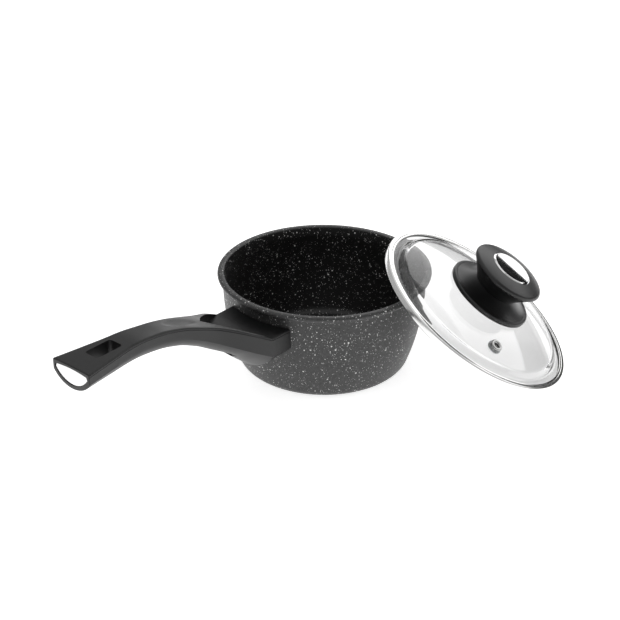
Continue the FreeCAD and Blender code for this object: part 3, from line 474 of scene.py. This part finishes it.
def silicone():
    """Grey-white moulded silicone: soft sheen, slightly uneven tone."""
    made, tree, output = new_material("silicone_moulded_grey")
    spot = add(tree, "ShaderNodeTexCoord").outputs["Object"]
    cloud = add(tree, "ShaderNodeTexNoise", {"Vector": spot, "Scale": 0.15 / MM, "Detail": 3.0})
    colour = add(tree, "ShaderNodeMix",
                 {0: cloud.outputs["Fac"], 6: hex_linear("#8d8e8c"), 7: hex_linear("#a6a7a4")},
                 data_type="RGBA")
    rough = add(tree, "ShaderNodeMapRange", {0: cloud.outputs["Fac"], 3: 0.5, 4: 0.7})
    skin = add(tree, "ShaderNodeBsdfPrincipled",
               {"Base Color": colour.outputs[2], "Roughness": rough.outputs[0]})
    finish_material(tree, output, skin)
    return made


def seamless_paper():
    """White translucent studio paper lit from behind, matt, with a barely uneven surface: shadows
    on it stay faint."""
    made, tree, output = new_material("studio_paper_white")
    spot = add(tree, "ShaderNodeTexCoord").outputs["Object"]
    cloud = add(tree, "ShaderNodeTexNoise", {"Vector": spot, "Scale": 0.003 / MM, "Detail": 2.0})
    colour = add(tree, "ShaderNodeMix",
                 {0: cloud.outputs["Fac"], 6: hex_linear("#f6f6f6"), 7: hex_linear("#fafafa")},
                 data_type="RGBA")
    skin = add(tree, "ShaderNodeBsdfPrincipled", {
        "Base Color": colour.outputs[2], "Roughness": 0.9, "Emission Color": (1.0, 1.0, 1.0, 1.0),
        "Emission Strength": 0.76,
    })
    finish_material(tree, output, skin)
    return made


def black_felt():
    """Black felt on a flag card: soaks up light, with a fine nap."""
    made, tree, output = new_material("card_felt_black")
    spot = add(tree, "ShaderNodeTexCoord").outputs["Object"]
    nap = add(tree, "ShaderNodeTexNoise", {"Vector": spot, "Scale": 0.4 / MM, "Detail": 2.0})
    colour = add(tree, "ShaderNodeMix",
                 {0: nap.outputs["Fac"], 6: hex_linear("#0a0a0a"), 7: hex_linear("#161616")},
                 data_type="RGBA")
    skin = add(tree, "ShaderNodeBsdfPrincipled",
               {"Base Color": colour.outputs[2], "Roughness": 1.0})
    finish_material(tree, output, skin)
    return made


COATING = stone_coating()
# Grip: an even, soft sheen along its top and nothing that mirrors.
GRIP_BLACK = moulded("phenolic_moulded_matt_black", "#080808", "#101011", 0.34, 0.44, 0.35)
# Knob: blacker and a little shinier than the grip, from a finer mould.
KNOB_BLACK = moulded("phenolic_moulded_satin_black", "#060606", "#0c0c0d", 0.30, 0.38, 0.25)
# Band: pale metal with long, soft-ended highlights round the lid.
BAND = turned_metal("stainless_steel_rolled_satin", "#dededd", "#f4f4f3", 0.10, 0.20, 0.12, 0.15)
# Eyelet: a small ring of sharp light and dark on a greyer steel.
EYELET = turned_metal("stainless_steel_polished_rolled", "#8e8e8d", "#b6b6b5",
                      0.06, 0.12, 0.15, 0.15)
# Disc in the knob: a near mirror with faint spun rings.
PLATE = turned_metal("aluminium_polished_spun", "#dcdcdc", "#f0f0f0", 0.03, 0.06, 0.10, 0.02)
# Plate in the grip's tip: bright, but it only mirrors softly.
TIP_PLATE = turned_metal("aluminium_polished_flat", "#dcdcdc", "#f2f2f1",
                         0.12, 0.22, 0.20, 0.10, False)
# Screws and washers: bluish pale grey with a dull shine.
SCREW = turned_metal("steel_zinc_plated", "#a2a4a6", "#c3c5c6", 0.25, 0.4, 0.30, 0.15, False)
# Induction disc: grey steel whose brushing blurs what it mirrors.
BASE_STEEL = turned_metal("stainless_steel_brushed_sheet", "#a9a9a7", "#cfcfcd",
                          0.3, 0.45, 0.20, 0.25, False)
# Bracket: dull, slightly rough grey as it comes from the mould.
RAW = turned_metal("aluminium_cast_raw", "#a0a1a2", "#b9babb", 0.45, 0.6, 0.8, 0.3, False)
# Insert: warm yellow metal with turning marks.
BRASS = turned_metal("brass_turned", "#a5813f", "#c9a35c", 0.25, 0.35, 0.25, 0.2, False)
GLASS = toughened_glass()
SILICONE = silicone()
PAPER = seamless_paper()
FELT = black_felt()


def dress(thing, body, slot, material, *nodes):
    """Give a new piece its finish, its body and the CAD nodes that it stands for."""
    thing.data.materials.clear()
    thing.data.materials.append(material)
    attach(thing, body)
    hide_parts(*nodes)
    return thing


# ---------------------------------------------------------------- pan

def pan_wall(gap=0.0):
    """The two ends of the bowed outer wall, moved out by a gap."""
    return (WALL_FOOT[0] + gap, WALL_FOOT[1]), (WALL_NECK[0] + gap, WALL_NECK[1])


def build_pan():
    """Vessel: flat foot, heel arc, wall bowed by a large arc, tucked neck, round lip bead, and the
    inner wall one wall thickness in. The attribute "inside" is 1 on the inner face, which the
    coating paints darker as painted shade. An arc that leaves a level line and climbs to a point
    has the radius (run^2 + rise^2) / (2 rise), and one that leaves an upright line has (run^2 +
    rise^2) / (2 run)."""
    foot, neck = pan_wall()
    bead = RIM_RADIUS - LIP_ROUND
    bead_low = PAN_HEIGHT - 2 * LIP_ROUND
    under, rise = bead - neck[0], bead_low - neck[1]
    tuck = (under ** 2 + rise ** 2) / (2 * under)
    run = foot[0] - FOOT_RADIUS
    heel = (run ** 2 + foot[1] ** 2) / (2 * foot[1])
    mouth = RIM_RADIUS - LIP_WIDTH
    heel_top = foot[0] - WALL
    line = trace([
        (0, DISC_THICKNESS),
        (DISC_RADIUS, DISC_THICKNESS),
        (DISC_RADIUS, 0),
        (FOOT_RADIUS, 0),
        (*foot, heel, 1),
        (*neck, WALL_BOW, 1),
        (bead, bead_low, tuck, -1),
        (RIM_RADIUS, PAN_HEIGHT - LIP_ROUND, LIP_ROUND, 1),
        (bead, PAN_HEIGHT, LIP_ROUND, 1),
        (mouth + MOUTH_ROUND, PAN_HEIGHT),
        (mouth, PAN_HEIGHT - MOUTH_ROUND, MOUTH_ROUND, 1),
        (neck[0] - WALL, neck[1]),
        (heel_top, BASE_THICKNESS + INNER_HEEL_RISE, WALL_BOW - WALL, -1),
        (heel_top - INNER_HEEL_RUN, BASE_THICKNESS, INNER_HEEL_RADIUS, -1),
        (0, BASE_THICKNESS),
    ], step=1.6)
    pan = lathe("pan_shell", soften(line, 0.8), around=288, sharp=50)
    co = np.zeros(len(pan.data.vertices) * 3, np.float32)
    pan.data.vertices.foreach_get("co", co)
    co = co.reshape(-1, 3) / MM
    radius = np.hypot(co[:, 0], co[:, 1])
    wall = np.interp(co[:, 2], MIDDLE_OF_WALL[:, 0], MIDDLE_OF_WALL[:, 1])
    # Points inside the bowl get the darker coating colour, which is painted shade.
    inside = ((radius < wall) & (co[:, 2] > MIDDLE_OF_WALL[0, 0])).astype(np.float32)
    layer = pan.data.attributes.new("inside", "FLOAT", "POINT")
    layer.data.foreach_set("value", inside)
    return dress(pan, "pan", "coated_aluminium", COATING, "pan_body")


# ---------------------------------------------------------------- handle

def smooth_rows(table, at):
    """Cubic Hermite interpolation of each column against the first, with slopes limited so that no
    column overshoots its stations."""
    x, y = table[:, 0], table[:, 1:]
    step = np.diff(x)[:, None]
    slope = np.diff(y, axis=0) / step
    tangent = np.zeros_like(y)
    same = slope[:-1] * slope[1:] > 0
    mean = 2 * slope[:-1] * slope[1:] / np.where(same, slope[:-1] + slope[1:], 1)
    tangent[1:-1] = np.where(same, mean, 0)
    tangent[0], tangent[-1] = slope[0], slope[-1]
    k = np.clip(np.searchsorted(x, at, side="right") - 1, 0, len(x) - 2)
    t = ((at - x[k]) / np.diff(x)[k])[:, None]
    width = step[k]
    return (y[k] * (2 * t ** 3 - 3 * t ** 2 + 1) + tangent[k] * width * (t ** 3 - 2 * t ** 2 + t)
            + y[k + 1] * (3 * t ** 2 - 2 * t ** 3) + tangent[k + 1] * width * (t ** 3 - t ** 2))


def grip_section(reach, top, width, side, depth, inset=0.0):
    """Closed D-shaped section at a reach: a slightly crowned top, rounded edges with a fine parting
    groove below them, upright sides and a belly that is an arc of radius (h^2 + b^2) / 2b, where h
    is half the width and b the belly's height."""
    half, top = width / 2 - inset, top - inset
    side, depth = side - inset, depth - 2 * inset
    edge, crown = 1.5, 0.35
    y = np.linspace(half - edge, edge - half, 15)
    flat = np.stack([y, top - crown * (y / half) ** 2], -1)
    drop = crown * ((half - edge) / half) ** 2
    turn = np.radians(np.linspace(90, 180, 7))[1:]
    bend = np.stack([edge - half + edge * np.cos(turn),
                     top - drop - edge + edge * np.sin(turn)], -1)
    low = top - edge - drop
    groove = np.array([(-half, low - 0.3), (-half + 0.3, low - 0.65), (-half, low - 1.0)])
    upright = np.stack([np.full(4, -half), np.linspace(low - 1.4, top - side, 4)], -1)
    deep = depth - side
    arc = (half ** 2 + deep ** 2) / (2 * deep)
    reach_angle = math.asin(min(half / arc, 1.0))
    sweep = -math.pi / 2 - reach_angle * np.linspace(1, 0, 16)[1:]
    belly = np.stack([arc * np.cos(sweep), top - depth + arc + arc * np.sin(sweep)], -1)
    left = np.concatenate([bend, groove, upright, belly])
    right = left[:-1][::-1] * (-1, 1)
    loop = np.concatenate([flat, left, right])
    return np.column_stack([np.full(len(loop), -reach), loop])


def build_handle():
    """Block at the wall and grip as one loft, with its rounded tip, then the wall, the neck's
    opening and recess, the hang slot, the bracket's room, the screw's bore and seat and the end
    plate's pocket carved out. The thumb dimple is an oval bowl, 1 - (x/a)^2 - (y/b)^2 to the power
    0.8, pressed into the top. The neck's opening is half a lens, whose arcs have the radius
    (h^2 + l^2) / 2h for its half width h and its length l."""
    block = np.linspace(BLOCK_INNER_END, HANDLE_STATIONS[0], 8)
    last = GRIP_REACH - 1.2
    at = np.concatenate([np.arange(BLOCK_REACH, last, 1.4)[1:], [last]])
    grip = np.column_stack([at, smooth_rows(HANDLE_STATIONS, at)])
    sections = [grip_section(*row) for row in np.concatenate([block, grip])]
    tip = smooth_rows(HANDLE_STATIONS, np.array([GRIP_REACH]))[0]
    for turn in np.radians((20, 40, 60, 76, 90)):
        reach = GRIP_REACH - TIP_ROUND + TIP_ROUND * math.sin(turn)
        sections.append(grip_section(reach, *tip, inset=TIP_ROUND * (1 - math.cos(turn))))
    handle = carried("handle_moulding", sections)

    foot, neck = pan_wall(HANDLE_WALL_GAP)
    wall_line = trace([(0, foot[1]), foot, (*neck, WALL_BOW, 1), (0, neck[1])], 2.0)
    wall = lathe("cut_wall", wall_line, around=180)
    above = 120.0
    half, length = NECK_HOLE_HALF, NECK_HOLE_END - NECK_HOLE_START
    lens = (half ** 2 + length ** 2) / (2 * half)
    opening = prism("cut_opening", trace([
        (-NECK_HOLE_START, half), (-NECK_HOLE_END, 0, lens, 1), (-NECK_HOLE_START, -half, lens, 1),
    ], 1.0), 20, above)
    half, bow = NECK_RECESS_HALF, NECK_RECESS_BOW
    recess = prism("cut_recess", trace([
        (-BLOCK_REACH, half), (-NECK_RECESS_END, 0, bow, 1), (-BLOCK_REACH, -half, bow, 1),
    ], 1.0), BLOCK_TOP, above)
    corner, half, side = SLOT_CORNER, SLOT_HALF, SLOT_HALF - SLOT_CORNER
    slot = prism("cut_slot", trace([
        (corner - SLOT_END, half), (-SLOT_END, side, corner, 1),
        (-SLOT_END, -side), (corner - SLOT_END, -half, corner, 1),
        (-SLOT_START - corner, -half), (-SLOT_START, -side, corner, 1),
        (-SLOT_START, side), (-SLOT_START - corner, half, corner, 1),
    ], 0.5), 70, above)
    wide, low, high = (BRACKET_HALF_WIDTH, SCREW_HEIGHT - BRACKET_HALF_HEIGHT,
                       SCREW_HEIGHT + BRACKET_HALF_HEIGHT)
    room = prism("cut_room", [(-wide, low), (wide, low), (wide, high), (-wide, high)],
                 -BRACKET_REACH, -50, "X")
    bore = prism("cut_bore", circle(SCREW_HOLE, SCREW_HEIGHT), -110, -80, "X")
    seat = prism("cut_seat", circle(SEAT_RADIUS, SCREW_HEIGHT), -112, -SCREW_SEAT, "X")
    pocket = prism("cut_pocket", plate_outline(), -255, -PLATE_RECESS_REACH, "X")
    carve(handle, [wall, opening, recess, slot, room, bore, seat, pocket])

    co = np.zeros(len(handle.data.vertices) * 3, np.float32)
    handle.data.vertices.foreach_get("co", co)
    co = co.reshape(-1, 3)
    reach, y = -co[:, 0] / MM, co[:, 1] / MM
    top = smooth_rows(HANDLE_STATIONS, np.clip(reach, BLOCK_REACH, GRIP_REACH))[:, 0]
    oval = 1 - ((reach - DIMPLE_REACH) / DIMPLE_HALF_LENGTH) ** 2 - (y / DIMPLE_HALF_WIDTH) ** 2
    near_top = (co[:, 2] / MM > top - 1.2)
    co[:, 2] -= np.where(near_top, np.clip(oval, 0, 1) ** 0.8 * DIMPLE_DEPTH, 0) * MM
    handle.data.vertices.foreach_set("co", co.ravel())
    smooth(handle, 24)
    return dress(handle, "pan", "phenolic", GRIP_BLACK, "handle")


def plate_outline():
    """D shape of the end plate, across and up: arched top, small shoulders, round belly. An arch
    of height b over a half width h has the radius (h^2 + b^2) / 2b."""
    half, corner, top, side, low, arch = 15.5, 14.7, 97.94, 95.74, 87.04, 1.2
    belly = side - low
    radius = (half ** 2 + belly ** 2) / (2 * belly)
    crown = (corner ** 2 + arch ** 2) / (2 * arch)
    return trace([
        (corner, top), (0, top + arch, crown, 1), (-corner, top, crown, 1),
        (-half, side), (0, low, radius, 1), (half, side, radius, 1),
    ], 0.5)


def build_end_plate():
    """Flat plate with a bevelled edge: its outline drawn in towards its middle over the last
    rings, each given by its X and its share of the outline's size."""
    outline = plate_outline()
    middle = np.array([0, 93.0])
    rings = []
    for x, shrink in ((-249.42, 0.985), (-250.2, 0.985), (-250.45, 0.975), (-250.58, 0.955),
                      (-250.6, 0.94)):
        ring = middle + (outline - middle) * shrink
        rings.append(np.column_stack([np.full(len(ring), x), ring]))
    plate = carried("end_plate", rings, 20)
    return dress(plate, "pan", "bright_plate", TIP_PLATE, "handle_end_plate")


# ---------------------------------------------------------------- lid

def lid_place():
    """The lid's frame, in millimetres: Z along its axis, origin at the band's underside."""
    low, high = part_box("lid_rim")
    middle = (low + high) / 2 / MM
    turn = (Matrix.Rotation(math.radians(LEAN_AZIMUTH), 4, "Z")
            @ Matrix.Rotation(math.radians(LEAN_TILT), 4, "Y"))
    axis = turn.to_3x3() @ Vector((0, 0, 1))
    return Matrix.Translation(middle - axis * BAND_HEIGHT / 2) @ turn


LID = lid_place()


def vent_place():
    """The vent's frame: on the glass's upper face, Z along the dome's normal there."""
    slope = math.asin(VENT_REACH / DOME_SPHERE)
    angle = math.radians(VENT_ANGLE)
    spot = Vector((VENT_REACH * math.cos(angle), VENT_REACH * math.sin(angle),
                   float(dome(VENT_REACH))))
    turn = Matrix.Rotation(angle, 4, "Z") @ Matrix.Rotation(slope, 4, "Y")
    return LID @ Matrix.Translation(spot) @ turn


def build_glass():
    """Dome between two concentric spheres, a steep shoulder and a flat edge held in the band."""
    under_sphere = DOME_SPHERE - GLASS_THICKNESS
    seat, edge, edge_top = BAND_SEAT, LID_RADIUS - BAND_SEAT, 4.85
    hole = KNOB_HOLE
    under_dome = DOME_RADIUS - DOME_UNDER_INSET
    under_flat = DOME_RADIUS + SHOULDER_RUN - SHOULDER_INSET
    line = trace([
        (hole, float(dome(hole, under_sphere))),
        (under_dome, float(dome(under_dome, under_sphere)), under_sphere, -1),
        (under_flat, seat),
        (edge, seat),
        (edge, edge_top),
        (DOME_RADIUS + SHOULDER_RUN, edge_top),
        (DOME_RADIUS, DOME_EDGE_HEIGHT),
        (hole, float(dome(hole)), DOME_SPHERE, 1),
    ], step=2.5)
    glass = lathe("lid_pane", soften(line, 2.2, 18, 7), LID, around=256, sharp=60)
    vent = prism("cut_vent", circle(VENT_HOLE, count=40), -8, 8)
    vent.data.transform(Matrix.Scale(MM, 4) @ vent_place() @ Matrix.Scale(1 / MM, 4))
    carve(glass, [vent])
    smooth(glass, 60)
    return dress(glass, "lid", "tempered_glass", GLASS, "lid_glass")


def build_band():
    """U-shaped band: outer bend, flat flanges with a rolled inner edge and one pressed step."""
    outer, steel, bend, high = LID_RADIUS, BAND_STEEL, 1.3, BAND_HEIGHT
    under, lip = 4.4, 4.8
    line = trace([
        (outer - under, 0),
        (outer - bend, 0),
        (outer, bend, bend, 1),
        (outer, high - bend),
        (outer - bend, high, bend, 1),
        (outer - 2.9, high),
        (outer - 3.2, high - 0.16),
        (outer - 4.35, high - 0.16),
        (outer - 4.6, high - 0.05),
        (outer - lip, high - 0.2),
        (outer - lip, high - steel),
        (outer - bend, high - steel),
        (outer - steel, high - bend, bend - steel, -1),
        (outer - steel, bend),
        (outer - bend, steel, bend - steel, -1),
        (outer - under, steel),
    ], step=0.3)
    band = lathe("lid_band", soften(line, 0.12, 24, 2), LID, 288)
    return dress(band, "lid", "band_steel", BAND, "lid_rim")


def build_eyelet():
    """Rolled eyelet: tube through the glass with a round flange above and a curled end below."""
    bore, steel, flange, mouth = 1.9, 0.6, 4.7, 1.3
    curl, clear = 1.2, 0.02
    low = -GLASS_THICKNESS - VENT_WASHER
    line = trace([
        (bore, low - steel),
        (bore + steel + curl, low - steel),
        (bore + steel + curl, low),
        (bore + steel, low),
        (bore + steel, clear),
        (flange, clear),
        (flange - steel, steel * 2, 0.96, 1),
        (bore + mouth, steel * 2),
        (bore, steel * 0.3, mouth, 1),
    ], step=0.15)
    eyelet = lathe("steam_eyelet", soften(line, 0.15, 24, 2), vent_place(), 72, 40)
    return dress(eyelet, "lid", "eyelet_steel", EYELET, "vent_eyelet")


def knob_levels():
    """Heights of the knob: underside and top of the skirt's lip, neck, ridge, crown."""
    low = float(dome(SKIRT_RADIUS)) + SKIRT_GAP
    high = low + SKIRT_LIP
    neck = high + SKIRT_RISE
    ridge = neck + HEAD_HEIGHT
    return low, high, neck, ridge, ridge + HEAD_CROWN


def build_knob_base():
    """Hollow skirt: upright lip with a rounded edge, then one concave sweep up to the neck."""
    low, high, neck, _, _ = knob_levels()
    boss = DOME_HEIGHT + GASKET_THICKNESS
    inner = SKIRT_RADIUS - SKIRT_SHELL
    joint = neck - 0.01
    line = trace([
        (SCREW_HOLE, boss),
        (BOSS_RADIUS, boss),
        (BOSS_RADIUS, boss + BOSS_HEIGHT),
        (inner, high - 2.2),
        (inner, low),
        (SKIRT_RADIUS, low),
        (SKIRT_RADIUS, high - 0.6),
        (SKIRT_RADIUS - 0.8, high),
        (SKIRT_RADIUS - 2.2, high),
        (SKIRT_RADIUS - 2.6, high - 0.25),
        (NECK_RADIUS, joint, 32.0, -1),
        (SCREW_HOLE, joint),
    ], step=0.8)
    skirt = lathe("knob_skirt", soften(line, 0.5, 20, 4), LID, 224)
    return dress(skirt, "lid", "knob_phenolic", KNOB_BLACK, "knob_base")


def build_knob_head():
    """Solid head: a cone that widens up to a rounded ridge, then slopes in to the top plate."""
    _, _, neck, ridge, crown = knob_levels()
    seat = crown - TOP_PLATE_THICKNESS + TOP_PLATE_STAND
    ridge_round, flare_bow, crown_bow = 2.2, 190.0, 70.0
    line = trace([
        (INSERT_RADIUS, neck),
        (NECK_RADIUS, neck),
        (28.8, ridge - ridge_round, flare_bow, -1),
        (28.05, ridge + 1.2, ridge_round, 1),
        (TOP_PLATE_RADIUS, crown, crown_bow, 1),
        (TOP_PLATE_RADIUS, seat),
        (0, seat),
        (0, neck + INSERT_LENGTH),
        (INSERT_RADIUS, neck + INSERT_LENGTH),
    ], step=0.6)
    head = lathe("knob_grip", trim_axis(soften(line, 0.4, 24, 3)), LID, 224)
    return dress(head, "lid", "knob_phenolic", KNOB_BLACK, "knob_head")


def trim_axis(line):
    """Turn a closed line round so that it starts and ends on the axis."""
    on = np.flatnonzero(line[:, 0] < 1e-6)
    return np.roll(line, -on[-1], 0)


def build_top_plate():
    """Disc with a wide bevel and a flat face that lies a little below it."""
    _, _, _, _, crown = knob_levels()
    high = crown + TOP_PLATE_STAND
    low = high - TOP_PLATE_THICKNESS + 0.02
    radius = TOP_PLATE_RADIUS - 0.03
    line = trace([
        (0, low),
        (radius, low),
        (radius, high - 0.6),
        (radius - 1.1, high),
        (radius - 1.7, high - 0.02),
        (radius - 1.9, high - 0.14),
        (0, high - 0.14),
    ], step=0.8)
    plate = lathe("knob_disc", soften(line, 0.12, 15, 3), LID, 224, 20)
    return dress(plate, "lid", "bright_plate", PLATE, "knob_top_plate")


# ---------------------------------------------------------------- studio

def area_light(name, power, size, spot, aim):
    """Rectangular softbox at a spot, in metres, turned to its aim."""
    lamp = bpy.data.lights.new(name, "AREA")
    lamp.shape = "RECTANGLE"
    lamp.size, lamp.size_y = size
    lamp.energy = power
    thing = bpy.data.objects.new(name, lamp)
    thing.location = spot
    thing.rotation_mode = "QUATERNION"
    thing.rotation_quaternion = (Vector(aim) - Vector(spot)).to_track_quat("-Z", "Y")
    bpy.context.scene.collection.objects.link(thing)
    return thing


def build_studio():
    """White paper floor that glows like a light table, dim white surroundings, a broad softbox
    above and a long one beyond the +X side, and a low black card on that side, which only
    reflections see: it draws dark edges on the metal and the glass."""
    side, paper_top = 6000.0, -0.35
    corners = np.array([(-side, -side), (side, -side), (side, side), (-side, side)])
    floor = prism("paper_floor", corners, -12.0, paper_top)
    floor.data.materials.append(PAPER)
    left, right, tall = -1100.0, 700.0, 259.0
    card = prism("black_card", [(left, 0.0), (right, 0.0), (right, tall), (left, tall)],
                 900.0, 904.0, "X")
    card.data.materials.append(FELT)
    card.visible_camera = False
    card.visible_diffuse = False
    card.visible_transmission = False
    card.visible_shadow = False
    world = bpy.data.worlds.new("studio")
    bpy.context.scene.world = world
    world.use_nodes = True
    tree = world.node_tree
    tree.nodes.clear()
    sky = add(tree, "ShaderNodeBackground", {"Color": (1.0, 1.0, 1.0, 1.0), "Strength": 0.45})
    end = add(tree, "ShaderNodeOutputWorld")
    tree.links.new(sky.outputs[0], end.inputs["Surface"])
    area_light("overhead_softbox", 10.0, (3.0, 3.0), (-0.1, 0.2, 1.9), (0, 0, 0))
    area_light("far_softbox", 5.0, (1.8, 0.7), (1.0, 0.1, 0.63), (0, 0.1, 0.63))


def build_camera():
    """Camera 1.15 m off, turned 50 degrees round from the pan's -Y side and 28 degrees down."""
    pitch, yaw, around = math.radians(28.0), math.radians(0.61), math.radians(-50.0)
    turn = Matrix.Rotation(around, 3, "Z")
    spot = turn @ Vector((0, -1.0011, 0.5725))
    forward = turn @ Vector((-math.sin(yaw) * math.cos(pitch), math.cos(yaw) * math.cos(pitch),
                             -math.sin(pitch)))
    camera = bpy.data.cameras.new("camera")
    camera.sensor_width = 36.0
    camera.lens = 85.4
    camera.clip_start, camera.clip_end = 0.05, 50.0
    thing = bpy.data.objects.new("camera", camera)
    thing.location = spot
    thing.rotation_mode = "QUATERNION"
    thing.rotation_quaternion = forward.to_track_quat("-Z", "Y")
    bpy.context.scene.collection.objects.link(thing)
    bpy.context.scene.camera = thing


def dress_cad_nodes():
    """Finishes of the CAD nodes that stay in sight."""
    finishes = {
        "induction_base": BASE_STEEL,
        "handle_bracket": RAW,
        "handle_screw": SCREW,
        "handle_lock_washer": SCREW,
        "lid_rim_liner": SILICONE,
        "vent_washer": SCREW,
        "knob_seat_gasket": SILICONE,
        "knob_insert": BRASS,
        "knob_screw": SCREW,
        "knob_washer": SCREW,
        "knob_gasket": SILICONE,
    }
    for name, material in finishes.items():
        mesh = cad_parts[name].data
        mesh.materials.clear()
        mesh.materials.append(material)


build_pan()
build_handle()
build_end_plate()
build_glass()
build_band()
build_eyelet()
build_knob_base()
build_knob_head()
build_top_plate()
dress_cad_nodes()
build_studio()
build_camera()
bpy.context.scene.view_settings.view_transform = "Standard"
